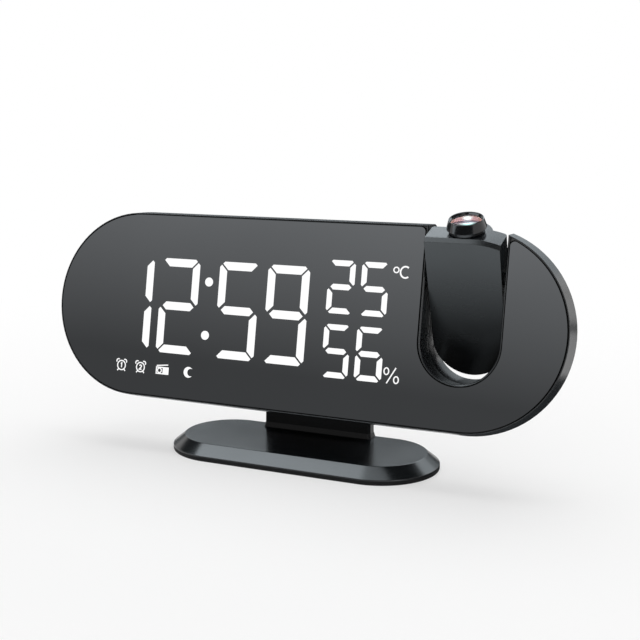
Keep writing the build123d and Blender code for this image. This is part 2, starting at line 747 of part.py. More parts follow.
def low_screw(length, seat, x, z):
    """A thin-headed screw whose head sits on a board's face."""
    head = along_depth(SCREW_HEAD_RADIUS, seat, seat + BOARD_SPACE / 2, x, z)
    return head + along_depth(SCREW_RADIUS, seat - length, seat, x, z)


def display_screws():
    seat = DISPLAY_BOARD + BOARD_THICK
    return group([low_screw(DISPLAY_SCREW_LENGTH, seat, x, z) for x, z in display_screw_places()], CASING)


# ---- main board and what is on it ----
def board_screw_places():
    return [
        (MAIN_LEFT + BOARD_POST_INSET, MAIN_LOW + BOARD_POST_INSET),
        (MAIN_LEFT + BOARD_POST_INSET, MAIN_HIGH - BOARD_POST_INSET / 2),
        (MAIN_RIGHT - BOARD_POST_INSET, MAIN_HIGH - BOARD_POST_INSET / 2),
        (PORT_X - LOWER_POST_STEP, LOWER_POST_Z),
    ]


def main_board():
    board = slab(notched_plate(MAIN_LEFT, MAIN_RIGHT, MAIN_LOW, MAIN_HIGH), MAIN_FRONT, MAIN_BACK)
    for x, z in board_screw_places():
        board -= along_depth(SCREW_RADIUS + SCREW_FIT, MAIN_FRONT, MAIN_BACK, x, z)
    return board


def board_screws():
    screws = []
    for x, z in board_screw_places():
        head = along_depth(SCREW_HEAD_RADIUS, MAIN_FRONT - BOARD_SPACE / 2, MAIN_FRONT, x, z)
        shank = along_depth(SCREW_RADIUS, MAIN_FRONT, MAIN_FRONT + BOARD_SCREW_LENGTH, x, z)
        screws.append(head + shank)
    return group(screws, CASING)


def key_x(index):
    return KEY_LEFT + index * KEY_PITCH


def snooze_switch_x():
    """Midway between the two keys nearest the middle of the row."""
    return key_x((len(KEY_NAMES) - 1) / 2)


def key_switches():
    switches = []
    body = Rectangle(SWITCH_SIZE, SWITCH_SIZE)
    top = MAIN_BACK + SWITCH_THICK
    for index in range(len(KEY_NAMES)):
        switch = slab(Pos(key_x(index), KEY_HEIGHT) * body, MAIN_BACK, top)
        switches.append(switch + along_depth(PLUNGER_RADIUS, top, top + PLUNGER, key_x(index), KEY_HEIGHT))
    x, z = snooze_switch_x(), MAIN_HIGH - SWITCH_SIZE / 2
    snooze = slab(Pos(x, z) * body, MAIN_BACK, MAIN_BACK + SWITCH_SIZE)
    middle = MAIN_BACK + SWITCH_SIZE / 2
    switches.append(snooze + upright(PLUNGER_RADIUS, MAIN_HIGH, MAIN_HIGH + PLUNGER, x, middle))
    return group(switches, CASING)


def rear_key(index):
    x = key_x(index)
    cap = along_depth(KEY_RADIUS, WALL_INNER - SIDE_GAP, CASING_DEPTH + KEY_PROUD, x, KEY_HEIGHT)
    cap = fillet(cap.edges().group_by(Axis.Y)[-1], KEY_EDGE)
    flange_back = WALL_INNER - SIDE_GAP
    flange_front = flange_back - KEY_FLANGE
    cap += along_depth(KEY_RADIUS + KEY_FLANGE_EXTRA, flange_front, flange_back, x, KEY_HEIGHT)
    stem_end = MAIN_BACK + SWITCH_THICK + PLUNGER + KEY_TRAVEL + SIDE_GAP
    return cap + along_depth(KEY_STEM_RADIUS, stem_end, flange_back, x, KEY_HEIGHT)


def cover_top(depth):
    """Height of the rear cover's top face at a depth."""
    return MIRROR_HEIGHT + COVER_GROW - draft_at(depth)


def snooze_bar():
    top = cover_top(SNOOZE_DEPTH) + SNOOZE_PROUD
    under = cover_top(SNOOZE_DEPTH + SNOOZE_WIDTH / 2 + SNOOZE_LIP) - WALL - 2 * SIDE_GAP
    key = Pos(0, SNOOZE_DEPTH, under) * SlotOverall(SNOOZE_LENGTH, SNOOZE_WIDTH)
    key = extrude(key, amount=top - under)
    key = fillet(key.edges().group_by(Axis.Z)[-1], KEY_EDGE)
    half, reach = SNOOZE_LENGTH / 2 + SNOOZE_LIP, SNOOZE_WIDTH / 2 + SNOOZE_LIP
    low = under - SNOOZE_FLANGE
    key += block((-half, half), (SNOOZE_DEPTH - reach, SNOOZE_DEPTH + reach), (low, under))
    stem_foot = MAIN_HIGH + PLUNGER + SNOOZE_TRAVEL + SIDE_GAP
    return key + upright(KEY_STEM_RADIUS, stem_foot, under, snooze_switch_x(), SNOOZE_DEPTH)


def speaker():
    """Magnet, basket and open paper cone; its rim bears on the grille's lip."""
    rim_back = WALL_INNER - GRILLE_LIP_THICK
    back = -SPEAKER_HEIGHT
    throat = MAGNET_RADIUS / 2
    profile = [
        (0, back),
        (MAGNET_RADIUS, back),
        (MAGNET_RADIUS, back + MAGNET_HEIGHT),
        (SPEAKER_RADIUS, -SPEAKER_RIM),
        (SPEAKER_RADIUS, 0),
        (SPEAKER_RADIUS - SPEAKER_RIM, 0),
        (throat, back + MAGNET_HEIGHT),
        (0, back + MAGNET_HEIGHT + SPEAKER_RIM),
    ]
    return Location((SPEAKER_X, rim_back, SPEAKER_Z), (-90, 0, 0)) * turned(profile)


def speaker_grille():
    disc = along_depth(GRILLE_RADIUS, WALL_INNER - GRILLE_LIP_THICK, CASING_DEPTH, SPEAKER_X, SPEAKER_Z)
    disc += along_depth(
        GRILLE_RADIUS + GRILLE_LIP, WALL_INNER - GRILLE_LIP_THICK, WALL_INNER, SPEAKER_X, SPEAKER_Z
    )
    room = GRILLE_RADIUS - GRILLE_MARGIN
    for index in range(GRILLE_SLOTS):
        rise = (index - (GRILLE_SLOTS - 1) / 2) * GRILLE_PITCH
        length = 2 * sqrt(max(room**2 - rise**2, GRILLE_SLOT**2))
        slot = Pos(SPEAKER_X, SPEAKER_Z + rise) * SlotOverall(length, GRILLE_SLOT)
        disc -= slab(slot, WALL_INNER - GRILLE_LIP_THICK, CASING_DEPTH)
    return disc


def coin_cell():
    low = WALL_INNER - CELL_THICK
    cell = along_depth(CELL_RADIUS, low, WALL_INNER, CELL_X, CELL_Z)
    return chamfer(cell.edges().group_by(Axis.Y)[0], CELL_EDGE)


def battery_contacts():
    """A flat spring under the cell and an upright one at its side."""
    floor = WALL_INNER - CELL_THICK - CONTACT_THICK
    strip = Rectangle(CONTACT_WIDTH, CONTACT_LENGTH)
    under = slab(Pos(CELL_X, CELL_Z) * strip, floor, floor + CONTACT_THICK)
    side_x = CELL_X + CELL_RADIUS + CUP_GAP / 4
    side = block(
        (side_x, side_x + CUP_GAP / 2),
        (floor + CONTACT_THICK, WALL_INNER),
        (CELL_Z - SIDE_CONTACT_WIDTH / 2, CELL_Z + SIDE_CONTACT_WIDTH / 2),
    )
    return group([under, side], CASING)


def battery_door():
    seat = CASING_DEPTH - DOOR_THICK
    door = along_depth(DOOR_RADIUS, seat, CASING_DEPTH, CELL_X, CELL_Z)
    coin = Pos(CELL_X, CELL_Z) * SlotOverall(COIN_SLOT_LENGTH, COIN_SLOT_WIDTH)
    return door - slab(coin, CASING_DEPTH - COIN_SLOT_DEPTH, CASING_DEPTH)


def usb_socket():
    shell = slab(Pos(PORT_X, USB_Z) * Rectangle(USB_WIDTH, USB_HEIGHT), MAIN_BACK, CASING_DEPTH)
    inner = Rectangle(USB_WIDTH - 2 * USB_SHEET, USB_HEIGHT - 2 * USB_SHEET)
    shell -= slab(Pos(PORT_X, USB_Z) * inner, MAIN_BACK + BOARD_MARGIN, CASING_DEPTH)
    tongue = Rectangle(USB_WIDTH - 2 * (USB_SHEET + USB_TONGUE_MARGIN), USB_TONGUE)
    tongue_z = USB_Z + USB_HEIGHT / 2 - USB_SHEET - USB_TONGUE
    return shell + slab(Pos(PORT_X, tongue_z) * tongue, MAIN_BACK, CASING_DEPTH - BOARD_MARGIN)


def power_socket():
    body = slab(Pos(PORT_X, POWER_Z) * Rectangle(JACK_BODY, JACK_BODY), MAIN_BACK, WALL_INNER - SIDE_GAP)
    body += along_depth(JACK_RADIUS, MAIN_BACK, CASING_DEPTH, PORT_X, POWER_Z)
    body -= along_depth(JACK_BORE, MAIN_BACK + BOARD_MARGIN, CASING_DEPTH, PORT_X, POWER_Z)
    return body + along_depth(JACK_PIN, MAIN_BACK, WALL_INNER, PORT_X, POWER_Z)


def climate_sensor():
    """Small board with its sensing chip, against the back wall beside the vents."""
    frame = Rectangle(SENSOR_SIZE + 2 * VENT_WIDTH, SENSOR_SIZE + 2 * VENT_WIDTH)
    opening = Rectangle(SENSOR_SIZE, SENSOR_SIZE + VENT_WIDTH)
    place = Pos(SENSOR_X, SENSOR_Z)
    board = slab(place * frame, WALL_INNER - 2 * BOARD_THICK, WALL_INNER - BOARD_THICK)
    board += slab(place * (frame - opening), WALL_INNER - BOARD_THICK, WALL_INNER)
    chip = place * Rectangle(CHIP_SIZE, CHIP_SIZE)
    return board + slab(chip, WALL_INNER - BOARD_THICK, WALL_INNER - CHIP_THICK)


def aerial_gland():
    gland = along_depth(GLAND_RADIUS, WALL_INNER, CASING_DEPTH, GLAND_X, GLAND_Z)
    outer = GLAND_RADIUS + GLAND_FLANGE
    gland += along_depth(outer, WALL_INNER - GLAND_FLANGE, WALL_INNER, GLAND_X, GLAND_Z)
    gland += along_depth(outer, CASING_DEPTH, CASING_DEPTH + GLAND_FLANGE, GLAND_X, GLAND_Z)
    through = (WALL_INNER - GLAND_FLANGE, CASING_DEPTH + GLAND_FLANGE)
    return gland - along_depth(GLAND_BORE, *through, GLAND_X, GLAND_Z)


# ---- pod, drawn flush with the mirror ----
def across(radius, side, near, far):
    """A cylinder on the pivot line, between two distances from the slot's middle."""
    middle = SLOT_X + side * (near + far) / 2
    return Location((middle, PIVOT_DEPTH, PIVOT_HEIGHT), (0, 90, 0)) * Cylinder(radius, abs(far - near))


def side_turned(profile, side):
    """A (distance, radius) profile turned about the pivot line, to one side of the slot's middle."""
    shape = turned([(radius, distance) for distance, radius in profile])
    return Location((SLOT_X, PIVOT_DEPTH, PIVOT_HEIGHT), (0, 90 * side, 0)) * shape


def pod_form(inset, back):
    """Tongue with a tapering tip and the round hump behind the lens, smaller by an inset."""
    outline = u_shape(POD_RADIUS - inset) & stadium(-inset)
    tongue = slab(outline, 0, back)
    tip = SLOT_ARC_HEIGHT - POD_RADIUS
    wedge = [
        (POD_TIP_THICK - inset, tip),
        (POD_DEPTH - inset, tip + POD_TAPER_HEIGHT),
        (POD_DEPTH + HUMP_RADIUS, tip + POD_TAPER_HEIGHT),
        (POD_DEPTH + HUMP_RADIUS, tip - POD_TIP_THICK),
        (POD_TIP_THICK - inset, tip - POD_TIP_THICK),
    ]
    face = make_face(Polyline(*[(SLOT_X, depth, z) for depth, z in wedge], close=True))
    tongue -= extrude(face, amount=SLOT_RADIUS, both=True)
    if not inset:
        tongue = fillet(back_edges(tongue), POD_EDGE)
    radius = HUMP_RADIUS - inset
    foot = MIRROR_HEIGHT - HUMP_LENGTH + inset
    hump = upright(radius, foot, MIRROR_HEIGHT, SLOT_X, LENS_DEPTH)
    if not inset:
        runout = Cone(HUMP_RUNOUT_RADIUS, radius, HUMP_RUNOUT)
        hump += Pos(SLOT_X, LENS_DEPTH, foot - HUMP_RUNOUT / 2) * runout
    return tongue + (hump & slab(stadium(-inset), POD_PLATE, 2 * POD_DEPTH))


def back_edges(tongue):
    """The long edges round the back of the tongue, apart from its flat top."""
    rear = tongue.faces().filter_by(Axis.Y).sort_by(Axis.Y)[-1]
    slope = [face for face in tongue.faces() if face.normal_at().Y > abs(face.normal_at().Z) > FLAT_SLOPE]
    edges = ShapeList(rear.edges() + [edge for face in slope for edge in face.edges()])
    top = MIRROR_HEIGHT - HUMP_RADIUS
    return [
        edge
        for edge in edges
        if abs(edge.center().X - SLOT_X) > POD_RADIUS / 2 and edge.center().Z < top
    ]


def pod_shell():
    shell = pod_form(0, POD_DEPTH)
    shell -= slab(Pos(SLOT_X, MID_Z) * Rectangle(BIG, BIG), 0, POD_PLATE)
    shell -= pod_form(POD_WALL, POD_DEPTH - POD_WALL)
    shell -= upright(BARREL_RADIUS, pod_roof(), MIRROR_HEIGHT, SLOT_X, LENS_DEPTH)
    for side in (-1, 1):
        shell -= across(PIN_RADIUS, side, POD_RADIUS - 2 * POD_WALL, POD_RADIUS)
    post = POD_PLATE, POD_DEPTH
    for x in pod_screw_xs():
        shell += along_depth(POST_RADIUS, *post, x, POD_SCREW_Z) & pod_form(POD_WALL / 2, POD_DEPTH)
        shell -= along_depth(SCREW_RADIUS + SCREW_FIT, *post, x, POD_SCREW_Z)
        shell -= along_depth(SCREW_HEAD_RADIUS + SCREW_FIT, pod_screw_seat(), POD_DEPTH, x, POD_SCREW_Z)
    return shell


def pod_screw_xs():
    return [SLOT_X + side * POD_SCREW_SPREAD / 2 for side in (-1, 1)]


def pod_screw_seat():
    """Depth of the heads, below the tapering back at the screws' height."""
    tip = SLOT_ARC_HEIGHT - POD_RADIUS
    share = (POD_SCREW_Z - SCREW_HEAD_RADIUS - tip) / POD_TAPER_HEIGHT
    return POD_TIP_THICK + (POD_DEPTH - POD_TIP_THICK) * share - SCREW_HEAD


def pod_screws():
    length = pod_screw_seat() - POD_PLATE / 2
    return group([
        Location((x, pod_screw_seat(), POD_SCREW_Z), (-90, 0, 0)) * screw(length) for x in pod_screw_xs()
    ], POD)


def pod_plate():
    plate = slab(u_shape(POD_RADIUS) & stadium(0), 0, POD_PLATE)
    top = [
        edge
        for edge in plate.edges().group_by(Axis.Y)[0]
        if edge.center().Z > MIRROR_HEIGHT - SLOT_RADIUS / 2
    ]
    plate = chamfer(top, POD_TOP_BEVEL)
    for x in pod_screw_xs():
        plate -= along_depth(SCREW_RADIUS + SCREW_FIT, POD_PLATE / 2, POD_PLATE, x, POD_SCREW_Z)
    return plate


def clip_start():
    """Distance from the slot's middle to the near side of a retaining clip."""
    return SLOT_RADIUS + WALL + BUSH_FLANGE + WASHER + 2 * SIDE_GAP


def clip_end():
    return clip_start() + CLIP


def pivot_pin(side):
    """Hollow pin: head inside the pod, shank through the bush, groove for its clip."""
    head = POD_RADIUS - POD_WALL
    groove = clip_start()
    end = clip_end() + PIN_END
    profile = [
        (head - PIN_HEAD, PIN_BORE),
        (head - PIN_HEAD, PIN_HEAD_RADIUS),
        (head, PIN_HEAD_RADIUS),
        (head, PIN_RADIUS),
        (groove, PIN_RADIUS),
        (groove, PIN_RADIUS - CLIP_GROOVE),
        (clip_end(), PIN_RADIUS - CLIP_GROOVE),
        (clip_end(), PIN_RADIUS),
        (end, PIN_RADIUS),
        (end, PIN_BORE),
    ]
    return side_turned(profile, side)


def ring_between(near, far, inner, outer):
    """A plain ring on each side of the slot."""
    profile = [(near, inner), (near, outer), (far, outer), (far, inner)]
    return [side_turned(profile, side) for side in (-1, 1)]


def pivot_bushes():
    start, end = SLOT_RADIUS, SLOT_RADIUS + WALL
    bore = PIN_RADIUS + PIN_FIT
    profile = [
        (start, bore),
        (start, BUSH_RADIUS),
        (end, BUSH_RADIUS),
        (end, BUSH_FLANGE_RADIUS),
        (end + BUSH_FLANGE, BUSH_FLANGE_RADIUS),
        (end + BUSH_FLANGE, bore),
    ]
    return group([side_turned(profile, side) for side in (-1, 1)], CASING)


def friction_washers():
    near = SLOT_RADIUS + WALL + BUSH_FLANGE + SIDE_GAP
    return group(ring_between(near, near + WASHER, PIN_RADIUS, BUSH_FLANGE_RADIUS), POD)


def retaining_clips():
    inner = PIN_RADIUS - CLIP_GROOVE
    return group(ring_between(clip_start(), clip_end(), inner, BUSH_FLANGE_RADIUS), POD)


# ---- optics, along the pod's upright lens axis ----
def on_lens_axis(solid):
    return Pos(SLOT_X, LENS_DEPTH, 0) * solid


def condenser_foot():
    return BARREL_FOOT + CONDENSER_HEIGHT


def pod_roof():
    """Height of the pod's inner roof at the right of the barrel, where the roof starts to round off."""
    round_end = MID_Z - POD_WALL
    beyond = SLOT_X + BARREL_FLANGE_RADIUS - (MIRROR_WIDTH / 2 - MID_Z)
    return MID_Z + sqrt(round_end**2 - max(beyond, 0) ** 2)


def lens_barrel():
    under = pod_roof()
    ledge = condenser_foot()
    profile = [
        (BARREL_BORE, BARREL_FOOT),
        (BARREL_RADIUS, BARREL_FOOT),
        (BARREL_RADIUS, under - BARREL_FLANGE),
        (BARREL_FLANGE_RADIUS, under - BARREL_FLANGE),
        (BARREL_FLANGE_RADIUS, under),
        (BARREL_RADIUS, under),
        (BARREL_RADIUS, BARREL_TOP),
        (BARREL_BORE, BARREL_TOP),
        (BARREL_BORE, ledge),
        (BARREL_BORE - CONDENSER_LEDGE, ledge),
        (BARREL_BORE - CONDENSER_LEDGE, ledge - CONDENSER_LEDGE),
        (BARREL_BORE, ledge - CONDENSER_LEDGE),
    ]
    return on_lens_axis(turned(profile))


def focus_ring():
    """Black turret that turns on the barrel: tapering skirt, crowned lip, dish down to the lens."""
    bore = BARREL_RADIUS + RING_FIT
    seat = RING_TOP - LENS_RECESS - LENS_THICK
    straight = RING_TOP - RING_CROWN
    outline = [
        Line((bore, 0, RING_FOOT), (RING_RADIUS, 0, RING_FOOT)),
        Line((RING_RADIUS, 0, RING_FOOT), (RING_TOP_RADIUS, 0, straight)),
        ThreePointArc(
            (RING_TOP_RADIUS, 0, straight),
            ((RING_TOP_RADIUS + DISH_RADIUS) / 2, 0, RING_TOP),
            (DISH_RADIUS, 0, straight),
        ),
        Line((DISH_RADIUS, 0, straight), (LENS_RADIUS + RING_FIT, 0, seat + LENS_THICK)),
        Line((LENS_RADIUS + RING_FIT, 0, seat + LENS_THICK), (LENS_RADIUS + RING_FIT, 0, seat)),
        Line((LENS_RADIUS + RING_FIT, 0, seat), (LENS_RADIUS - LENS_SEAT, 0, seat)),
        Line((LENS_RADIUS - LENS_SEAT, 0, seat), (LENS_RADIUS - LENS_SEAT, 0, BARREL_TOP + RING_LIFT)),
        Line((LENS_RADIUS - LENS_SEAT, 0, BARREL_TOP + RING_LIFT), (bore, 0, BARREL_TOP + RING_LIFT)),
        Line((bore, 0, BARREL_TOP + RING_LIFT), (bore, 0, RING_FOOT)),
    ]
    return on_lens_axis(revolve(make_face(outline), Axis.Z))


def crowned_disc(radius, low, thick, crown):
    """A flat-bottomed lens under a spherical cap."""
    ball = (radius**2 + crown**2) / (2 * crown)
    return upright(radius, low, low + thick) & Pos(0, 0, low + thick - ball) * Sphere(ball)


def projector_lens():
    low = RING_TOP - LENS_RECESS - LENS_THICK
    return on_lens_axis(crowned_disc(LENS_RADIUS, low, LENS_THICK, LENS_CROWN))


def condenser_lens():
    """Flat side up, its bulge down through the barrel's ledge."""
    foot = condenser_foot()
    bulge = crowned_disc(BARREL_BORE - CONDENSER_LEDGE - RING_FIT, -foot, CONDENSER_CROWN, CONDENSER_CROWN)
    plate = upright(BARREL_BORE, foot, foot + CONDENSER_THICK)
    return on_lens_axis(plate + Rot(180, 0, 0) * bulge)


def time_slide():
    foot = condenser_foot() + CONDENSER_THICK
    half = SLIDE_SIZE / 2
    return on_lens_axis(block((-half, half), (-half, half), (foot, foot + SLIDE_THICK)))


def projector_led():
    dome = upright(LED_RADIUS, BARREL_FOOT, BARREL_FOOT + LED_HEIGHT)
    return on_lens_axis(fillet(dome.edges().group_by(Axis.Z)[-1], LED_DOME))


def projector_board():
    """Round board with a straight front edge against the pod's plate."""
    disc = upright(HUMP_RADIUS - POD_WALL - PIN_FIT, BARREL_FOOT - PROJECTOR_BOARD, BARREL_FOOT)
    ahead = block((-BIG, BIG), (-BIG, POD_PLATE - LENS_DEPTH), (0, MIRROR_HEIGHT))
    return on_lens_axis(disc - ahead)


# ---- write the nodes ----
def write(name, solid, place=None):
    shape = place * solid if place else solid
    shape.label = name
    export_step(shape, f"parts/{name}.step")


write("base_pad", base_pad())
write("base_cover", base_cover())
write("base_weight", base_weight())
write("base_screws", base_screws())
write("neck", neck())
write("neck_screws", neck_screws())

write("mirror_panel", mirror_panel(), CASING)
write("front_frame", front_frame(), CASING)
write("rear_cover", rear_cover(), CASING)
write("housing_screws", housing_screws())

write("display_mask", display_mask(), CASING)
write("display_segments_lit", display_segments("lit"))
write("display_segments_dark", display_segments("dark"))
write("display_leds", display_leds())
write("display_board", display_board(), CASING)
write("display_screws", display_screws())

write("main_board", main_board(), CASING)
write("board_screws", board_screws())
write("key_switches", key_switches())
for number, key_name in enumerate(KEY_NAMES):
    write(f"{key_name}_key", rear_key(number), CASING)
write("snooze_bar", snooze_bar(), CASING)
write("speaker", speaker(), CASING)
write("speaker_grille", speaker_grille(), CASING)
write("coin_cell", coin_cell(), CASING)
write("battery_contacts", battery_contacts())
write("battery_door", battery_door(), CASING)
write("usb_socket", usb_socket(), CASING)
write("power_socket", power_socket(), CASING)
write("climate_sensor", climate_sensor(), CASING)
write("aerial_gland", aerial_gland(), CASING)

write("pod_shell", pod_shell(), POD)
write("pod_plate", pod_plate(), POD)
write("pod_screws", pod_screws())
write("pivot_pin_left", pivot_pin(-1), POD)
write("pivot_pin_right", pivot_pin(1), POD)
write("friction_washers", friction_washers())
write("retaining_clips", retaining_clips())
write("pivot_bushes", pivot_bushes())
write("lens_barrel", lens_barrel(), POD)
write("focus_ring", focus_ring(), POD)
write("projector_lens", projector_lens(), POD)
write("condenser_lens", condenser_lens(), POD)
write("time_slide", time_slide(), POD)
write("projector_led", projector_led(), POD)
write("projector_board", projector_board(), POD)
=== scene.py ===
import bmesh
import bpy
import json
import numpy as np
from bpy.props import FloatProperty, FloatVectorProperty, PointerProperty
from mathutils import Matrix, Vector


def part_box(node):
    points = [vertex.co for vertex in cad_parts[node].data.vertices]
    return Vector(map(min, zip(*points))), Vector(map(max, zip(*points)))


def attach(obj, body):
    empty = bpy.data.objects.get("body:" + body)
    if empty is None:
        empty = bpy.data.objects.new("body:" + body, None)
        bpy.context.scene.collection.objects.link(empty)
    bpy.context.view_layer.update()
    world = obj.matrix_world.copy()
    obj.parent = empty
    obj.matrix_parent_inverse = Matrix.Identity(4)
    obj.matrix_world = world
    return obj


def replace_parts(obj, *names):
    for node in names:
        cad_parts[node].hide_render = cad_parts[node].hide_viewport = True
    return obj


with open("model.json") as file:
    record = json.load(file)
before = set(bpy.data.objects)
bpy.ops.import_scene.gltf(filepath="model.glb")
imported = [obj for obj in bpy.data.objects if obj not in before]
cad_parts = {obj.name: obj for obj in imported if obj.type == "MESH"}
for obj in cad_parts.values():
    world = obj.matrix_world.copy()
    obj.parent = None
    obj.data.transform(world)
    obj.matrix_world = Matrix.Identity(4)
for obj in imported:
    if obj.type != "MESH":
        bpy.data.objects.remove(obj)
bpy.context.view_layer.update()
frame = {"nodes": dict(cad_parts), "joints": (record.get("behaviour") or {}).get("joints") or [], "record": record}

bl_info = {
    "name": "Projection alarm clock",
    "version": (1, 0, 0),
    "blender": (4, 5, 0),
    "location": "View3D > Sidebar > Clock",
    "description": "Dresses a projection alarm clock with surfaces and finishes, and lights it",
    "category": "Object",
}

MM = 0.001
JOINTS = {joint["name"]: joint for joint in frame["joints"]}

# shares of a size
SCREW_TIP = 0.55  # a screw's tip, its radius and its taper, over the shank's radius
HEAD_FLAT = 1.3  # the flat on a screw's head, over half the span of its recess
RECESS_FLOOR = 0.6  # the recess's floor, over its mouth
IMAGE_BACK = 0.2  # how far a lit image reaches behind the mirror's face, over its thickness
POLE = 0.02  # the small flat that closes a turned shape, over its radius
CELSIUS_STROKE = 1.3  # the C's stroke, over a fine stroke

# the housing screws above and below stand this far from the middle
HOUSING_SCREW_SPREAD = 30 * MM

# the lit signs, in millimetres across and up from the middle of the mirror's lowest edge
SIGN_ROW = 10.12
ALARM_ONE, ALARM_TWO, RADIO, MOON = -68.8, -60.3, -50.67, -39.4
DIAL_RADIUS, BELL_RADIUS = 1.75, 0.75
MOON_RADIUS, MOON_BITE = 2.0, 1.4
DEGREE, DEGREE_RADIUS = (38.8, 52.53), 0.92
CELSIUS, CELSIUS_RADIUS = (42.1, 51.9), 1.78
SLASH = [(38.35, 13.8), (41.45, 19.3)]
PER_CENT_RINGS, PER_CENT_RADIUS = [(38.05, 17.9), (41.75, 15.2)], 0.85

# the studio, in metres, and the camera's lens in millimetres
FLOOR_RADII = (0.02, 0.2, 0.6, 3.0)
FLOOR_STEPS = 64
FLOOR_CARD_LIFT = 0.2 * MM
WORLD_LIGHT = 0.55
CAMERA_PLACE = (0.16682, -0.35501, 0.12501)
CAMERA_TARGET = (0.007, 0, 0.05194)
FOCAL_LENGTH = 61.68
SENSOR_WIDTH = 36


# ---- the casing's own frame ----
def cad_points(node):
    """Every vertex of a CAD node, in metres."""
    mesh = frame["nodes"][node].data
    flat = np.empty(3 * len(mesh.vertices))
    mesh.vertices.foreach_get("co", flat)
    return flat.reshape(-1, 3)


RIGHT = np.array([1.0, 0.0, 0.0])
BACK = -np.array(JOINTS["mode_press"]["axis"])
UP = -np.array(JOINTS["snooze_press"]["axis"])
MIRROR = cad_points("mirror_panel")
MIRROR_FOOT = (MIRROR @ BACK).min() * BACK + (MIRROR @ UP).min() * UP
PIVOT = np.array(JOINTS["pod_turn"]["pos_m"])
LENS_LINE = np.array(JOINTS["focus_turn"]["pos_m"])
LENS_UP = np.array(JOINTS["focus_turn"]["axis"])
POD_BACK = np.cross(LENS_UP, RIGHT)


def lens_heights(node):
    """Heights of a CAD node's vertices along the optical axis, from the focus ring's joint."""
    return (cad_points(node) - LENS_LINE) @ LENS_UP


# the painted glint inside the lens, a glow of the glass itself: its height on the optical axis, its place behind
# it, its reach, its strength
PAINTED_GLINT_RISE = lens_heights("projector_lens").max()
PAINTED_GLINT_BACK = 1.4 * MM
PAINTED_GLINT_REACH = 2.4 * MM
PAINTED_GLINT_STRENGTH = 1.2


def casing(points):
    """Points (x, depth, height) in metres, from the middle of the mirror's lowest front edge.

    x runs to the right, depth straight into the casing, and height up along the mirror's face.
    """
    return MIRROR_FOOT + np.asarray(points) @ np.array([RIGHT, BACK, UP])


def pod(points):
    """Points (x, depth, height) in metres from the pod's pivot, along the pod's own directions."""
    return PIVOT + np.asarray(points) @ np.array([RIGHT, POD_BACK, LENS_UP])


def along(points, origin, axis):
    """Local points whose z is set along an axis that starts at an origin."""
    first = np.cross(axis, RIGHT) if abs(axis[0]) < 0.9 else np.cross(axis, UP)
    first = first / np.linalg.norm(first)
    return origin + points @ np.array([first, np.cross(axis, first), axis])


# ---- surfaces ----
def rounded(profile, radii, steps=7):
    """A polyline whose inner corners become tangent arcs.

    With h half the angle between a corner's sides, an arc of radius r touches them r / tan h from
    the corner, and its centre lies r / sin h along the bisector. Points between the two touching
    points follow the circle by spherical interpolation.
    """
    profile = np.asarray(profile, dtype=float)
    share = np.linspace(0, 1, steps)[:, None]
    parts = [profile[:1]]
    for before, corner, after, radius in zip(profile, profile[1:], profile[2:], radii):
        u, v = before - corner, after - corner
        u, v = u / np.linalg.norm(u), v / np.linalg.norm(v)
        half = np.arccos(np.clip(u @ v, -1, 1)) / 2
        centre = corner + radius / np.sin(half) * (u + v) / np.linalg.norm(u + v)
        start, end = corner + radius / np.tan(half) * np.array([u, v]) - centre
        turn = np.pi - 2 * half
        bend = (np.sin((1 - share) * turn) * start + np.sin(share * turn) * end) / np.sin(turn)
        parts.append(centre + bend)
    return np.concatenate(parts + [profile[-1:]])


def stadium_rings(profile, length, width, steps=40):
    """Stadium rings, one for each (inset, height) of a profile.

    A ring is two half circles of radius r = width / 2 - inset about centres c = (length - width) / 2
    to either side of the middle: x = +-c + r cos a, y = r sin a, z = height.
    """
    half_turn = np.linspace(-np.pi / 2, np.pi / 2, steps)
    angle = np.concatenate([half_turn, half_turn + np.pi])
    centre = np.repeat([1.0, -1.0], steps) * (length - width) / 2
    inset, height = np.asarray(profile).T[..., None]
    radius = width / 2 - inset
    x, y = centre + radius * np.cos(angle), radius * np.sin(angle)
    return np.stack([x, y, height + 0 * x], axis=-1)


def lathe_rings(profile, steps=96):
    """Rings of a (radius, height) profile turned about z: x = r cos a, y = r sin a, z = h."""
    angle = np.linspace(0, 2 * np.pi, steps, endpoint=False)
    radius, height = np.asarray(profile).T[..., None]
    x, y = radius * np.cos(angle), radius * np.sin(angle)
    return np.stack([x, y, height + 0 * x], axis=-1)


def ring_faces(rows, columns, closed_rows=False):
    """Quads between neighbouring points of a grid whose rows close on themselves."""
    index = np.arange(rows * columns).reshape(rows, columns)
    index = np.concatenate([index, index[:, :1]], axis=1)
    if closed_rows:
        index = np.concatenate([index, index[:1]])
    corners = [index[:-1, :-1], index[:-1, 1:], index[1:, 1:], index[1:, :-1]]
    return np.stack(corners, axis=-1).reshape(-1, 4).tolist()


def capped(rings):
    """A tube of rings whose first and last ring are each filled by one face."""
    rows, columns = rings.shape[:2]
    ends = [list(range(columns)), list(range((rows - 1) * columns, rows * columns))]
    return rings.reshape(-1, 3), ring_faces(rows, columns) + ends


def looped(rings):
    """A tube of rings whose last ring joins its first."""
    rows, columns = rings.shape[:2]
    return rings.reshape(-1, 3), ring_faces(rows, columns, closed_rows=True)


def joined(shapes):
    """Several (points, faces) as one, the corners of each counted on from those before it."""
    points, faces, count = [], [], 0
    for part, part_faces in shapes:
        points.append(part)
        faces += [[corner + count for corner in face] for face in part_faces]
        count += len(part)
    return np.concatenate(points), faces


def add_object(name, data):
    """An object of a mesh, lamp or camera, linked to the scene."""
    made = bpy.data.objects.new(name, data)
    bpy.context.scene.collection.objects.link(made)
    return made


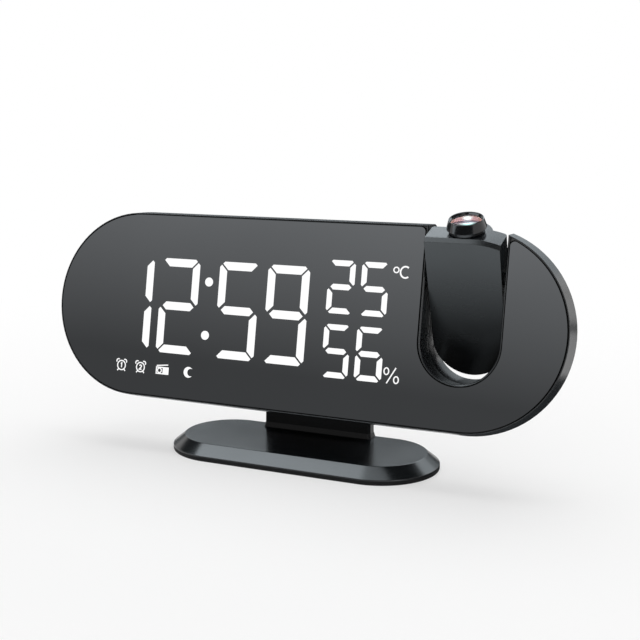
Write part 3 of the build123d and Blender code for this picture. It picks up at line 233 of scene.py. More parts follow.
def make_piece(name, shape, slot, body, crease=30.0):
    """A mesh piece from (points, faces), its normals outward, riding on a CAD body.

    It is smooth, apart from edges where it turns by more than the crease, in degrees.
    """
    points, faces = shape
    mesh = bpy.data.meshes.new(name)
    mesh.from_pydata(points.tolist(), [], faces)
    work = bmesh.new()
    work.from_mesh(mesh)
    bmesh.ops.recalc_face_normals(work, faces=work.faces)
    work.to_mesh(mesh)
    work.free()
    mesh.shade_smooth()
    mesh.set_sharp_from_angle(angle=np.radians(crease))
    mesh.materials.append(finish_of(slot))
    piece = add_object(name, mesh)
    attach(piece, body)
    return piece


def steady(piece):
    """Large faces set the normals, so that flats beside small radii reflect straight."""
    piece.modifiers.new("steady normals", "WEIGHTED_NORMAL").keep_sharp = True


# ---- materials ----
def linear(colour):
    """An sRGB hex colour as linear red, green and blue."""
    parts = np.array([int(colour[start:start + 2], 16) / 255 for start in (1, 3, 5)])
    return tuple(np.where(parts <= 0.04045, parts / 12.92, ((parts + 0.055) / 1.055) ** 2.4))


def add_node(material, kind, settings=(), inputs=()):
    """Adds one shader node, sets its properties, and gives each input a value or a link."""
    node = material.node_tree.nodes.new(kind)
    for name, value in dict(settings).items():
        setattr(node, name, value)
    for name, value in dict(inputs).items():
        if isinstance(value, bpy.types.NodeSocket):
            material.node_tree.links.new(value, node.inputs[name])
        else:
            node.inputs[name].default_value = value
    return node


def finish_of(slot):
    """The finish made for one of the record's material slots."""
    return next(material for material in bpy.data.materials if material.get("slot") == slot)


def blank(owner):
    """A material or world with an empty node tree."""
    owner.use_nodes = True
    owner.node_tree.nodes.clear()
    return owner


def new_finish(slot, name):
    """An empty node material that finish_of finds by its slot."""
    material = blank(bpy.data.materials.new(name))
    material["slot"] = slot
    return material


def surface(material, colour, **inputs):
    """A principled surface of a fixed or linked colour, out to the material's output."""
    colour = colour if isinstance(colour, bpy.types.NodeSocket) else (*colour, 1.0)
    named = {name.replace("_", " "): value for name, value in inputs.items()}
    shader = add_node(material, "ShaderNodeBsdfPrincipled", inputs={"Base Color": colour, **named})
    add_node(material, "ShaderNodeOutputMaterial", inputs={"Surface": shader.outputs["BSDF"]})


def grain(material, size, detail=2.0, stretch=(1.0, 1.0, 1.0)):
    """Noise over the object's own coordinates, with cells of a size in millimetres."""
    place = add_node(material, "ShaderNodeTexCoord").outputs["Object"]
    placed = add_node(material, "ShaderNodeMapping", inputs={"Vector": place, "Scale": stretch})
    inputs = {"Vector": placed.outputs["Vector"], "Scale": 1 / (size * MM), "Detail": detail}
    return add_node(material, "ShaderNodeTexNoise", inputs=inputs).outputs["Fac"]


def between(material, value, low, high):
    """Noise, which keeps near its middle, spread over a range."""
    inputs = {"Value": value, "From Min": 0.3, "From Max": 0.7, "To Min": low, "To Max": high}
    return add_node(material, "ShaderNodeMapRange", inputs=inputs).outputs["Result"]


def uneven(material, colour, value, amount):
    """A colour made lighter and darker by a share as a noise value goes."""
    inputs = {"Color": (*colour, 1.0), "Value": between(material, value, 1 - amount, 1 + amount)}
    return add_node(material, "ShaderNodeHueSaturation", inputs=inputs).outputs["Color"]


def relief(material, height, depth, edge):
    """Bump of a depth in millimetres over edges rounded by a radius in millimetres."""
    inputs = {"Height": height, "Distance": depth * MM}
    if edge:
        soft = add_node(material, "ShaderNodeBevel", {"samples": 6}, {"Radius": edge * MM})
        inputs["Normal"] = soft.outputs["Normal"]
    return add_node(material, "ShaderNodeBump", inputs=inputs).outputs["Normal"]


def moulded(slot, name, colour, rough, texture=0.5, depth=0.004, edge=0.2, shine=0.5):
    """Injection-moulded plastic: spark texture, faint flow marks, edges rounded by the tool."""
    material = new_finish(slot, name)
    flow = grain(material, 24.0, stretch=(1.0, 1.0, 2.5))
    surface(
        material,
        uneven(material, colour, flow, 0.05),
        Roughness=between(material, flow, rough - 0.03, rough + 0.03),
        IOR=1.53,
        Specular_IOR_Level=shine,
        Normal=relief(material, grain(material, texture, 1.0), depth, edge),
    )


def metal(slot, name, colour, rough, scratch=0.5, stretch=(1.0, 1.0, 1.0)):
    """Rolled or plated metal: fine marks along one direction over cloudy roughness."""
    material = new_finish(slot, name)
    cloud = grain(material, 5.0)
    surface(
        material,
        uneven(material, colour, cloud, 0.06),
        Metallic=1.0,
        Roughness=between(material, cloud, rough - 0.06, rough + 0.06),
        Normal=relief(material, grain(material, scratch, 3.0, stretch), 0.006, 0.08),
    )


def rubber(slot, name, colour):
    """Moulded rubber: matt, dusty, with a soft sheen at grazing angles."""
    material = new_finish(slot, name)
    dust = grain(material, 4.0, 4.0)
    surface(
        material,
        uneven(material, colour, dust, 0.15),
        Roughness=between(material, dust, 0.72, 0.88),
        IOR=1.52,
        Specular_IOR_Level=0.2,
        Sheen_Weight=0.05,
        Normal=relief(material, grain(material, 0.4, 2.0), 0.02, 0.15),
    )


def half_mirror(slot, name, colour):
    """Vacuum-coated acrylic: dim, sharp grey reflections on its face; its cut edges are uncoated, and painted
    black as shade so that they show no reflection at all.
    """
    material = new_finish(slot, name)
    coating = grain(material, 60.0)
    facing = add_node(material, "ShaderNodeTexCoord").outputs["Normal"]
    # 1 where the surface faces straight out of the mirror, and less on its edges, where painted shade turns the
    # colour black
    front = add_node(material, "ShaderNodeVectorMath", {"operation": "DOT_PRODUCT"}, {0: facing, 1: -BACK})
    inputs = {"Value": front.outputs["Value"], "From Min": 0.97, "From Max": 0.99}
    face_share_edges_shaded = add_node(material, "ShaderNodeMapRange", inputs=inputs).outputs["Result"]
    coated = uneven(material, colour, coating, 0.03)
    # painted shade: black, without any reflection, on the cut edges
    shown = add_node(material, "ShaderNodeHueSaturation", inputs={"Color": coated, "Value": face_share_edges_shaded})
    surface(
        material,
        shown.outputs["Color"],
        Metallic=1.0,
        Roughness=between(material, coating, 0.03, 0.045),
    )


def glowing(slot, name, colour, light, strength, unevenness):
    """Resin lit from behind, a little brighter towards its light source."""
    material = new_finish(slot, name)
    patches = grain(material, 5.0)
    surface(
        material,
        colour,
        Roughness=0.5,
        Emission_Color=uneven(material, light, patches, unevenness),
        Emission_Strength=strength,
    )


def clear(slot, name, colour, rough, glint="#ffffff", light=None):
    """Polished glass under a coating 320 nm thick that tints its glints, and, if it has a light, a painted glint
    that glows from the glass itself.
    """
    material = new_finish(slot, name)
    haze = grain(material, 3.0)
    shine = {}
    if light:
        # painted glint: the glass glows at the rear of the lens's middle and fades over a few millimetres
        painted_glint_centre = LENS_LINE + LENS_UP * PAINTED_GLINT_RISE + POD_BACK * PAINTED_GLINT_BACK
        place = add_node(material, "ShaderNodeTexCoord").outputs["Object"]
        away = add_node(material, "ShaderNodeVectorMath", {"operation": "DISTANCE"}, {0: place, 1: painted_glint_centre})
        fade = {"From Min": PAINTED_GLINT_REACH, "From Max": 0.0, "To Max": PAINTED_GLINT_STRENGTH}
        ramp = {"Value": away.outputs["Value"], **fade}
        strength = add_node(material, "ShaderNodeMapRange", {"interpolation_type": "SMOOTHSTEP"}, ramp)
        shine = {"Emission_Color": (*light, 1.0), "Emission_Strength": strength.outputs["Result"]}
    surface(
        material,
        colour,
        Transmission_Weight=1.0,
        Roughness=between(material, haze, rough, rough + 0.02),
        IOR=1.52,
        Specular_Tint=(*linear(glint), 1.0),
        Thin_Film_Thickness=320.0,
        Thin_Film_IOR=1.38,
        **shine,
    )


def circuit_board(slot, name, colour):
    """Green lacquer, glossy, over copper areas that stand slightly proud and show lighter."""
    material = new_finish(slot, name)
    place = add_node(material, "ShaderNodeTexCoord").outputs["Object"]
    inputs = {"Vector": place, "Scale": 1 / (3.0 * MM)}
    copper = add_node(material, "ShaderNodeTexVoronoi", {"distance": "MANHATTAN"}, inputs)
    area = copper.outputs["Distance"]
    colour = uneven(material, colour, area, 0.2)
    surface(material, colour, Roughness=0.28, IOR=1.5, Normal=relief(material, area, 0.03, 0))


def pressed_paper(slot, name, colour):
    """Speaker pulp: fibrous, matt and mottled."""
    material = new_finish(slot, name)
    fibres = grain(material, 0.8, 5.0, stretch=(1.0, 3.0, 1.0))
    colour = uneven(material, colour, fibres, 0.25)
    bump = relief(material, fibres, 0.05, 0)
    surface(material, colour, Roughness=0.9, Specular_IOR_Level=0.2, Normal=bump)


def colour_property(name, description, colour):
    """A colour that a user can change, from its sRGB hex default."""
    return FloatVectorProperty(
        name=name, description=description, subtype="COLOR", size=3, min=0, max=1, default=linear(colour)
    )


def length_property(name, description, millimetres):
    """A length that a user can change, from its default in millimetres."""
    return FloatProperty(
        name=name, description=description, unit="LENGTH", min=0, precision=5, default=millimetres * MM
    )


class ClockColours(bpy.types.PropertyGroup):
    """Colours of the clock's finishes."""

    housing: colour_property("Housing", "Slate plastic of the casing and base", "#16191b")
    neck: colour_property("Neck", "Near-black plastic of the neck", "#070809")
    pod: colour_property("Pod", "Plastic of the projector pod's shell", "#14171a")
    # the pod front's dark is painted shade: darker than the shell so that its shaded lower end renders black
    pod_front: colour_property("Pod front", "Darker plastic of the pod's front plate", "#07090a")
    ring: colour_property("Focus ring", "Polished black of the focus ring", "#08090a")
    keys: colour_property("Keys", "Charcoal of the rear keys and snooze bar", "#15181a")
    mirror: colour_property("Mirror", "Reflection of the half-mirrored panel", "#595b5d")
    black: colour_property("Black plastic", "Hidden and lesser black mouldings", "#0e0f10")
    figures: colour_property("Figures", "Light of the lit figures and signs", "#ffffff")
    phosphor: colour_property("Phosphor", "Yellow phosphor over the light chips", "#d9c95a")
    board: colour_property("Circuit board", "Lacquer of the circuit boards", "#14532d")
    rubber: colour_property("Rubber", "Base pad and aerial gland", "#080809")
    steel: colour_property("Steel", "Bare and zinc-plated steel", "#b4b8bc")
    bright_steel: colour_property("Bright steel", "Stainless and nickel plating", "#c9ccce")
    screws: colour_property("Screws", "Black zinc plating of the screws", "#3b3d40")
    glass: colour_property("Lens", "Glass of the projector's lenses", "#fbfdff")
    slide: colour_property("Slide", "Smoked glass of the projected time's cell", "#8a8078")
    lamp: colour_property("Projector lamp", "Light of the projector's red lamp", "#ff2a1c")
    # the lens light is a painted glint: the lens glass itself glows with this colour
    glint: colour_property("Painted lens glint", "Light in the middle of the projector's lens", "#c4f2ee")


class ClockSizes(bpy.types.PropertyGroup):
    """Sizes of the surfaces that are added to the clock's solids."""

    cover_edge: length_property("Cover edge", "Radius round the base's flat top", 0.5)
    cover_lip: length_property("Cover lip", "Height of the base's upright edge", 0.5)
    cover_lip_edge: length_property("Cover lip edge", "Radius over the base's upright edge", 0.35)
    cover_inset: length_property("Chamfer", "How far the base's flat top is set in", 4.5)
    cover_wall: length_property("Cover wall", "Wall of the base's cover at its foot", 4.2)
    cover_roof: length_property("Cover roof", "Thickness of the base's flat top", 1.5)
    pad_edge: length_property("Pad edge", "Radius under the base pad's rim", 0.4)
    ring_bore: length_property("Ring bore", "Radius of the focus ring's bore", 4.95)
    ring_foot: length_property("Ring foot", "Radius of the focus ring's foot", 6.1)
    ring_skirt: length_property("Ring skirt", "Radius of the focus ring's skirt at its lower edge", 6.75)
    ring_rise: length_property("Ring rise", "Height of the skirt's lower edge over the foot", 1.1)
    ring_drop: length_property("Ring drop", "How far the lip lies under its solid's top", 0.6)
    ring_top: length_property("Ring top", "Radius where the focus ring's crown starts", 5.9)
    ring_crown: length_property("Ring crown", "Rise of the focus ring's crowned lip", 0.25)
    ring_dish: length_property("Ring dish", "Radius where the crown falls to the lens", 5.5)
    ring_seat: length_property("Lens seat", "Radius of the lens's seat", 5.05)
    lens_fit: length_property("Lens fit", "Gap round the lens in its seat", 0.05)
    lens_crown: length_property("Lens crown", "Rise of the lens's curved face", 0.45)
    ring_stop: length_property("Lens stop", "Radius of the opening under the lens", 4.0)
    ring_recess: length_property("Lens recess", "From the crown's top to the lens's rim", 0.7)
    lens_rim: length_property("Lens rim", "Thickness of the lens at its rim", 1.3)
    ring_edge: length_property("Ring edge", "Small radius round the focus ring's foot", 0.25)
    head_radius: length_property("Screw head", "Radius of the screws' heads", 2.2)
    head_height: length_property("Screw head height", "Height of the screws' heads", 1.4)
    head_edge: length_property("Screw head edge", "Rounding of the screws' heads", 0.45)
    shank_radius: length_property("Screw shank", "Radius of the screws' shanks", 1.1)
    recess_length: length_property("Recess length", "Half the span of the crossed recess", 1.25)
    recess_width: length_property("Recess width", "Half the width of the recess's arms", 0.3)
    recess_depth: length_property("Recess depth", "Depth of the crossed recess", 0.9)
    figure_rise: length_property("Figure rise", "Thickness of the lit figures' image", 0.05)
    sign_stroke: length_property("Sign stroke", "Width of the fine strokes in the signs", 0.42)


# ---- pieces ----
class CLOCK_OT_finishes(bpy.types.Operator):
    """Makes the finish of each material slot and gives it to the nodes of that slot"""

    bl_idname = "clock.finishes"
    bl_label = "Finishes"

    def execute(self, context):
        colours = context.scene.clock_colours
        # slate satin housing: fine spark texture, soft reflections along its facets
        moulded("housing_abs", "abs_spark_textured_slate", colours.housing, 0.2)
        # near-black and smoother, so that it shows only a soft sheen along its edges
        moulded("neck_abs", "abs_fine_textured_black", colours.neck, 0.24, shine=0.15)
        # the pod's shell is the housing's plastic under a finer texture
        moulded("pod_abs", "abs_spark_textured_pod", colours.pod, 0.22, texture=0.4)
        # smoother, and darker than the shell as painted shade, so that the plate's shaded lower end renders black
        # and light falls off evenly down the pod's face
        moulded("pod_front_abs", "abs_satin_graphite", colours.pod_front, 0.26, depth=0.002)
        # polished black with a crisp light along the crowned lip
        moulded("ring_black", "abs_polished_black", colours.ring, 0.1, depth=0.0005, edge=0.1)
        # charcoal keys a shade darker than the housing round them
        moulded("key_abs", "abs_satin_charcoal", colours.keys, 0.3, texture=0.3)
        # matt black that swallows stray light between the figures
        moulded("mask_black", "abs_matt_black", colours.black, 0.75, depth=0.01)
        # smoke-coloured resin of the figures' unlit bars
        moulded("segment_dark", "polycarbonate_smoke", colours.black, 0.55, depth=0.002)
        # slightly soft, dull yellow cap over each light chip
        moulded("led_phosphor", "silicone_phosphor", colours.phosphor, 0.5, texture=0.15, edge=0.1)
        # satin black nylon of the small switches
        moulded("switch_black", "nylon_moulded_black", colours.black, 0.5)
        # black nylon turned to a fine, slightly shiny finish
        moulded("pin_nylon", "nylon_turned_black", colours.black, 0.42)
        # dense black polyester of the power socket
        moulded("socket_black", "pbt_moulded_black", colours.black, 0.45)
        # dark half-mirror: dim and sharp reflections, its cut edges painted black as shade
        half_mirror("mirror_acrylic", "acrylic_vacuum_half_mirror", colours.mirror)
        # white diffusing resin, lit evenly
        glowing("segment_white", "polycarbonate_diffusing_lit", colours.black, colours.figures, 1.0, 0.0)
        # clear red resin with a hotter middle
        glowing("led_red", "epoxy_clear_red_lit", colours.lamp, colours.lamp, 2.0, 0.3)
        # anti-slip rubber: matt with a dusty grain
        rubber("pad_rubber", "rubber_moulded_antislip", colours.rubber)
        # soft rubber gland
        rubber("gland_rubber", "rubber_moulded_gland", colours.rubber)
        # dull grey plated weight
        metal("weight_steel", "steel_zinc_plated", colours.steel, 0.42)
        # dark plated screws with driver marks
        metal("screw_steel", "steel_black_zinc_plated", colours.screws, 0.34)
        # bright springy strip with rolling marks along it
        metal("spring_steel", "steel_spring_rolled", colours.steel, 0.28, stretch=(1.0, 8.0, 1.0))
        # drawn stainless can with marks round its rim
        metal("cell_steel", "steel_stainless_drawn", colours.bright_steel, 0.24, stretch=(8.0, 1.0, 1.0))
        # bright nickel shell of the charging socket
        metal("socket_steel", "steel_nickel_plated", colours.bright_steel, 0.22, scratch=0.4)
        # mottled black pulp
        pressed_paper("speaker_paper", "paper_pulp_pressed", colours.black)
        # clear coated lenses with tinted glints, and a painted glint glowing in the projector lens's middle
        clear("lens_glass", "glass_polished_coated", colours.glass, 0.0, "#f0b4c0", colours.glint)
        # smoked cell glass, a little hazy
        clear("slide_glass", "glass_smoked_cell", colours.slide, 0.05)
        # glossy green boards
        circuit_board("board_green", "fr4_green_lacquered", colours.board)
        for part in frame["record"]["subparts"]:
            materials = frame["nodes"][part["node"]].data.materials
            materials.clear()
            materials.append(finish_of(part["material_slot"]))
        return {"FINISHED"}


class CLOCK_OT_base_cover(bpy.types.Operator):
    """Makes the base's chamfered stadium cover, hollow underneath"""

    bl_idname = "clock.base_cover"
    bl_label = "Base cover"

    def execute(self, context):
        sizes = context.scene.clock_sizes
        low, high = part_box("base_cover")
        foot, top = low.z, high.z
        ceiling = top - sizes.cover_roof
        # cover: from the ceiling out under the wall, up the lip, over the chamfer to the flat top;
        # the wall's foot has sharper edges than the top
        profile = rounded(
            [
                (sizes.cover_wall, ceiling),
                (sizes.cover_wall, foot),
                (0, foot),
                (0, foot + sizes.cover_lip),
                (sizes.cover_inset, top),
                (sizes.cover_inset + sizes.cover_wall, top),
            ],
            [sizes.cover_edge / 5, sizes.cover_edge / 5, sizes.cover_lip_edge, sizes.cover_edge],
        )
        rings = stadium_rings(profile, high.x - low.x, high.y - low.y)
        piece = make_piece("cover_of_base", capped(rings), "housing_abs", "casing")
        steady(piece)
        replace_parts(piece, "base_cover")
        return {"FINISHED"}


class CLOCK_OT_base_pad(bpy.types.Operator):
    """Makes the rubber pad under the base, its lower rim rounded"""

    bl_idname = "clock.base_pad"
    bl_label = "Base pad"

    def execute(self, context):
        sizes = context.scene.clock_sizes
        low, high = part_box("base_pad")
        edge = sizes.pad_edge
        inner = 5 * edge
        # pad: the rim between two flat ends, its upper edge sharper than its lower one
        outline = [(inner, low.z), (0, low.z), (0, high.z), (inner, high.z)]
        profile = rounded(outline, [edge, edge / 4])
        rings = stadium_rings(profile, high.x - low.x, high.y - low.y)
        piece = make_piece("pad_of_base", capped(rings), "pad_rubber", "casing")
        steady(piece)
        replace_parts(piece, "base_pad")
        return {"FINISHED"}


class CLOCK_OT_focus_ring(bpy.types.Operator):
    """Makes the focus ring: tapering skirt, crowned lip, dish and seat for the lens"""

    bl_idname = "clock.focus_ring"
    bl_label = "Focus ring"

    def execute(self, context):
        sizes = context.scene.clock_sizes
        heights = lens_heights("focus_ring")
        foot, top = heights.min(), heights.max() - sizes.ring_drop
        share = np.linspace(0, np.pi, 25)
        # crown: half an ellipse from the skirt to the dish, its height sin of its angle
        middle, reach = (sizes.ring_top + sizes.ring_dish) / 2, (sizes.ring_top - sizes.ring_dish) / 2
        height = top - sizes.ring_crown * (1 - np.sin(share))
        crown = np.stack([middle + reach * np.cos(share), height], axis=1)
        barrel_top = lens_heights("lens_barrel").max()
        edge, small = foot + sizes.ring_rise, sizes.ring_edge
        skirt = rounded(
            [
                (sizes.ring_bore, foot),
                (sizes.ring_foot, foot),
                (sizes.ring_foot, edge),
                (sizes.ring_skirt, edge),
                (sizes.ring_top, top - sizes.ring_crown),
            ],
            [small / 2, small / 4, small / 2],
        )
        rim = top - sizes.ring_recess
        dish = [
            (sizes.ring_seat, rim),
            (sizes.ring_seat, rim - sizes.lens_rim),
            (sizes.ring_stop, rim - sizes.lens_rim),
            (sizes.ring_stop, barrel_top + small),
            (sizes.ring_bore, barrel_top + small),
        ]
        points, faces = looped(lathe_rings(np.concatenate([skirt[:-1], crown, dish])))
        shape = along(points, LENS_LINE, LENS_UP), faces
        piece = make_piece("ring_for_focus", shape, "ring_black", "focus_ring", crease=40)
        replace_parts(piece, "focus_ring")
        return {"FINISHED"}


class CLOCK_OT_lens(bpy.types.Operator):
    """Makes the projector's lens: a flat underside below a shallow spherical cap"""

    bl_idname = "clock.lens"
    bl_label = "Projector lens"

    def execute(self, context):
        sizes = context.scene.clock_sizes
        rim = lens_heights("focus_ring").max() - sizes.ring_drop - sizes.ring_recess
        radius = sizes.ring_seat - sizes.lens_fit
        # cap: heights of a sphere of radius (radius^2 + crown^2) / (2 crown) over its chord
        ball = (radius**2 + sizes.lens_crown**2) / (2 * sizes.lens_crown)
        out = radius * np.sin(np.linspace(np.pi / 2, 0, 24, endpoint=False))
        cap = np.stack([out, rim + np.sqrt(ball**2 - out**2) - (ball - sizes.lens_crown)], axis=1)
        underside = [(POLE * radius, rim - sizes.lens_rim), (radius, rim - sizes.lens_rim)]
        points, faces = capped(lathe_rings(np.concatenate([underside, cap])))
        shape = along(points, LENS_LINE, LENS_UP), faces
        piece = make_piece("lens_of_projector", shape, "lens_glass", "focus_ring")
        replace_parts(piece, "projector_lens")
        return {"FINISHED"}


def screw_shape(sizes, length, steps=48):
    """A pan-head screw along z, the underside of its head at the origin, its shank below.

    It is a grid of rings about z. The recess's outline is a cross: at an angle a its radius is the
    larger of min(l / |cos a|, w / |sin a|) and min(w / |cos a|, l / |sin a|), where l is half the
    cross's span and w half the width of its arms. The outline shrinks towards the recess's floor.
    """
    angle = np.linspace(0, 2 * np.pi, steps, endpoint=False) + np.pi / steps
    cosine, sine = abs(np.cos(angle)), abs(np.sin(angle))
    lying = np.minimum(sizes.recess_length / cosine, sizes.recess_width / sine)
    upright = np.minimum(sizes.recess_width / cosine, sizes.recess_length / sine)
    cross = np.maximum(lying, upright)
    head, top = sizes.head_radius, sizes.head_height
    dome = rounded([(head, 0), (head, top), (HEAD_FLAT * sizes.recess_length, top)], [sizes.head_edge])
    shank, tip = sizes.shank_radius, SCREW_TIP * sizes.shank_radius
    body = [(tip, -length), (shank, tip - length), (shank, 0)]
    profile = np.concatenate([body, dome])
    radii = np.repeat(profile[:, :1], steps, axis=1)
    radii = np.concatenate([radii, [cross, RECESS_FLOOR * cross]])
    heights = np.append(profile[:, 1], [top, top - sizes.recess_depth])[:, None]
    x, y = radii * np.cos(angle), radii * np.sin(angle)
    return np.stack([x, y, heights + 0 * x], axis=-1)


def make_screws(name, node, body, places, facing):
    """Screws of one kind at several places, their heads facing one way, in a CAD node's stead."""
    sizes = bpy.context.scene.clock_sizes
    heights = cad_points(node) @ facing
    seat = heights.max() - sizes.head_height
    points, faces = capped(screw_shape(sizes, seat - heights.min()))
    origins = places - np.outer(places @ facing - seat, facing)
    shape = joined([(along(points, origin, facing), faces) for origin in origins])
    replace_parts(make_piece(name, shape, "screw_steel", body), node)


class CLOCK_OT_screws(bpy.types.Operator):
    """Makes the screws that show from behind, with crossed recesses"""

    bl_idname = "clock.screws"
    bl_label = "Screws"

    def execute(self, context):
        radius = context.scene.clock_sizes.head_radius
        # housing: four above and below, and one at each end, halfway up the mirror
        rises = (cad_points("housing_screws") - MIRROR_FOOT) @ UP
        foot, top = rises.min() + radius, rises.max() - radius
        halfway = (MIRROR @ UP).max() / 2 + (MIRROR @ UP).min() / 2 - MIRROR_FOOT @ UP
        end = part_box("housing_screws")[1].x - radius
        rear = [(side * HOUSING_SCREW_SPREAD, 0, height) for side in (-1, 1) for height in (foot, top)]
        rear += [(side * end, 0, halfway) for side in (-1, 1)]
        make_screws("screws_of_housing", "housing_screws", "casing", casing(rear), BACK)

        low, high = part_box("neck_screws")
        middle = (low.z + high.z) / 2
        behind = np.array([(side * (high.x - radius), 0, middle) for side in (-1, 1)])
        make_screws("screws_of_neck", "neck_screws", "casing", behind, np.array([0.0, 1.0, 0.0]))

        local = (cad_points("pod_screws") - PIVOT) @ np.array([RIGHT, POD_BACK, LENS_UP]).T
        spread, rise = local[:, 0].max() - radius, (local[:, 2].min() + local[:, 2].max()) / 2
        inside = pod([(side * spread, 0, rise) for side in (-1, 1)])
        make_screws("screws_of_pod", "pod_screws", "pod", inside, POD_BACK)
        return {"FINISHED"}


class CLOCK_OT_figures(bpy.types.Operator):
    """Makes the image of the lit figures on the mirror's face, from the lit bars behind it"""

    bl_idname = "clock.figures"
    bl_label = "Lit figures"

    def execute(self, context):
        work = bmesh.new()
        work.from_mesh(frame["nodes"]["display_segments_lit"].data)
        bmesh.ops.remove_doubles(work, verts=work.verts, dist=0.01 * MM)
        bars = np.array([vertex.co for vertex in work.verts]) - MIRROR_FOOT
        faces = [[vertex.index for vertex in face.verts] for face in work.faces]
        work.free()
        depths = bars @ BACK
        front = depths < (depths.min() + depths.max()) / 2
        # each bar keeps its outline, and its front and rear faces move to the mirror's face
        rise = context.scene.clock_sizes.figure_rise
        flat = np.stack([bars @ RIGHT, np.where(front, -rise, IMAGE_BACK * rise), bars @ UP], axis=1)
        make_piece("lit_figures", (casing(flat), faces), "segment_white", "casing")
        return {"FINISHED"}


def stroke(points, width, closed=False):
    """A flat band of a width along a line of (x, height) points, as a closed shape.

    Each point goes half a width to either side along the mean of its two segments' normals, longer
    by 1 / cos of half the turn, which keeps the band's width.
    """
    line = np.asarray(points, dtype=float)
    steps = np.diff(np.concatenate([line, line[:1]]), axis=0)
    steps = steps / np.linalg.norm(steps, axis=1)[:, None]
    before = np.roll(steps, 1, axis=0)
    if not closed:
        before[0], steps[-1] = steps[0], before[-1]
    normal = np.stack([-(steps + before)[:, 1], (steps + before)[:, 0]], axis=1)
    side = normal / (normal * normal).sum(axis=1)[:, None] * width
    left, right = line + side, line - side
    return np.stack([left, right, right, left]).transpose(1, 0, 2), closed


def on_mirror(corners, closed, rise):
    """A band's four rails (left, right, then the same behind) as a solid on the mirror's face."""
    depth = np.array([-rise, -rise, IMAGE_BACK * rise, IMAGE_BACK * rise])
    depth = np.broadcast_to(depth, corners.shape[:2])
    rings = casing(np.stack([corners[..., 0], depth, corners[..., 1]], axis=-1))
    return looped(rings) if closed else capped(rings)


def filled(points, rise):
    """The area inside an outline of (x, height) points as a solid on the mirror's face."""
    outline = np.asarray(points, dtype=float)
    ring = [np.insert(outline, 1, depth, axis=1) for depth in (-rise, IMAGE_BACK * rise)]
    return capped(casing(np.stack(ring)))


def arc(centre, radius, start, end, steps=20, tall=1.0):
    """Points (x, height) along a circle or an upright ellipse between two angles in degrees."""
    angle = np.radians(np.linspace(start, end, steps))
    across, up = radius * np.cos(angle), tall * radius * np.sin(angle)
    return np.stack([centre[0] + across, centre[1] + up], axis=1)


def circle(centre, radius, steps=28, tall=1.0):
    """Points round a circle or an upright ellipse, the first not repeated."""
    return arc(centre, radius, 0, 360, steps + 1, tall)[:-1]


# plain figures for the alarms' dials, in millimetres about the dial's middle
NUMERALS = {
    1: np.array([(-0.32, 0.5), (0.06, 0.85), (0.06, -0.85)]),
    2: np.concatenate([arc((0.0, 0.35), 0.46, 160, -20, 8), [(-0.46, -0.8), (0.52, -0.8)]]),
}


def alarm_sign(x, number):
    """Strokes of an alarm clock with two bells and two feet, and a plain 1 or 2 on its dial."""
    middle = np.array([x, SIGN_ROW])
    strokes = [(circle(middle, DIAL_RADIUS), True), (middle + NUMERALS[number], False)]
    for side in (-1, 1):
        facing = 90 - side * 45
        bell = arc(middle + np.array([side * 1.45, 1.55]), BELL_RADIUS, facing - 80, facing + 80, 10)
        foot = middle + np.array([(side * 1.2, -1.5), (side * 1.75, -2.1)])
        strokes += [(bell, False), (foot, False)]
    return strokes


def radio_sign(x):
    """Strokes and a filled panel of a portable radio: box, round dial on the left, aerial above."""
    middle = np.array([x, SIGN_ROW])
    box = middle + np.array([(-2.55, -1.6), (2.55, -1.6), (2.55, 0.75), (-2.55, 0.75)])
    dial = circle(middle + np.array([-1.2, -0.42]), 0.85)
    aerial = middle + np.array([(-2.5, 1.3), (2.4, 1.85)])
    panel = middle + np.array([(0.2, -1.4), (2.35, -1.4), (2.35, 0.55), (0.2, 0.55)])
    return [(box, True), (dial, True), (aerial, False)], panel


def moon_sign(x):
    """A crescent's outline: an outer arc closed by a flatter inner one."""
    middle = np.array([x, SIGN_ROW])
    outer = arc(middle, MOON_RADIUS, 40, 320, 40)
    inner = arc(middle + np.array([0.95, 0.0]), MOON_BITE, 293.3, 66.7, 30)
    return np.concatenate([outer, inner])


class CLOCK_OT_signs(bpy.types.Operator):
    """Makes the lit signs: two alarms, radio, night, degree sign with C, and per cent"""

    bl_idname = "clock.signs"
    bl_label = "Lit signs"

    def execute(self, context):
        sizes = context.scene.clock_sizes
        wide, rise = sizes.sign_stroke, sizes.figure_rise
        radio, panel = radio_sign(RADIO)
        letter = arc(CELSIUS, CELSIUS_RADIUS, 52, 308, 24, tall=1.08)
        strokes = alarm_sign(ALARM_ONE, 1) + alarm_sign(ALARM_TWO, 2) + radio
        strokes += [(circle(DEGREE, DEGREE_RADIUS), True), (np.array(SLASH), False)]
        strokes += [(circle(place, PER_CENT_RADIUS, tall=1.35), True) for place in PER_CENT_RINGS]
        shapes = [on_mirror(*stroke(line * MM, wide, closed), rise) for line, closed in strokes]
        shapes.append(on_mirror(*stroke(letter * MM, CELSIUS_STROKE * wide), rise))
        shapes += [filled(outline * MM, rise) for outline in (panel, moon_sign(MOON))]
        make_piece("lit_signs", joined(shapes), "segment_white", "casing")
        return {"FINISHED"}


# ---- studio ----
COOL = linear("#eff9ff")
NEUTRAL = linear("#ffffff")


def stage_piece(name, shape, material, glossy_only=False):
    """A mesh that is no part of the clock, and that may show in reflections alone."""
    points, faces = shape
    mesh = bpy.data.meshes.new(name)
    mesh.from_pydata(np.asarray(points).tolist(), [], faces)
    mesh.materials.append(material)
    piece = add_object(name, mesh)
    if glossy_only:
        piece.visible_camera = piece.visible_diffuse = piece.visible_shadow = False
        piece.visible_transmission = piece.visible_volume_scatter = False
    return piece


def aimed(made, place, target):
    """A lamp or camera put at a place and turned to a target."""
    made.location = place
    made.rotation_euler = (Vector(target) - Vector(place)).to_track_quat("-Z", "Y").to_euler()
    return made


def lamp(name, place, target, width, depth, power):
    """A rectangular soft light at a place, turned to a target."""
    light = bpy.data.lights.new(name, "AREA")
    light.shape, light.size, light.size_y, light.energy = "RECTANGLE", width, depth, power
    return aimed(add_object(name, light), place, target)


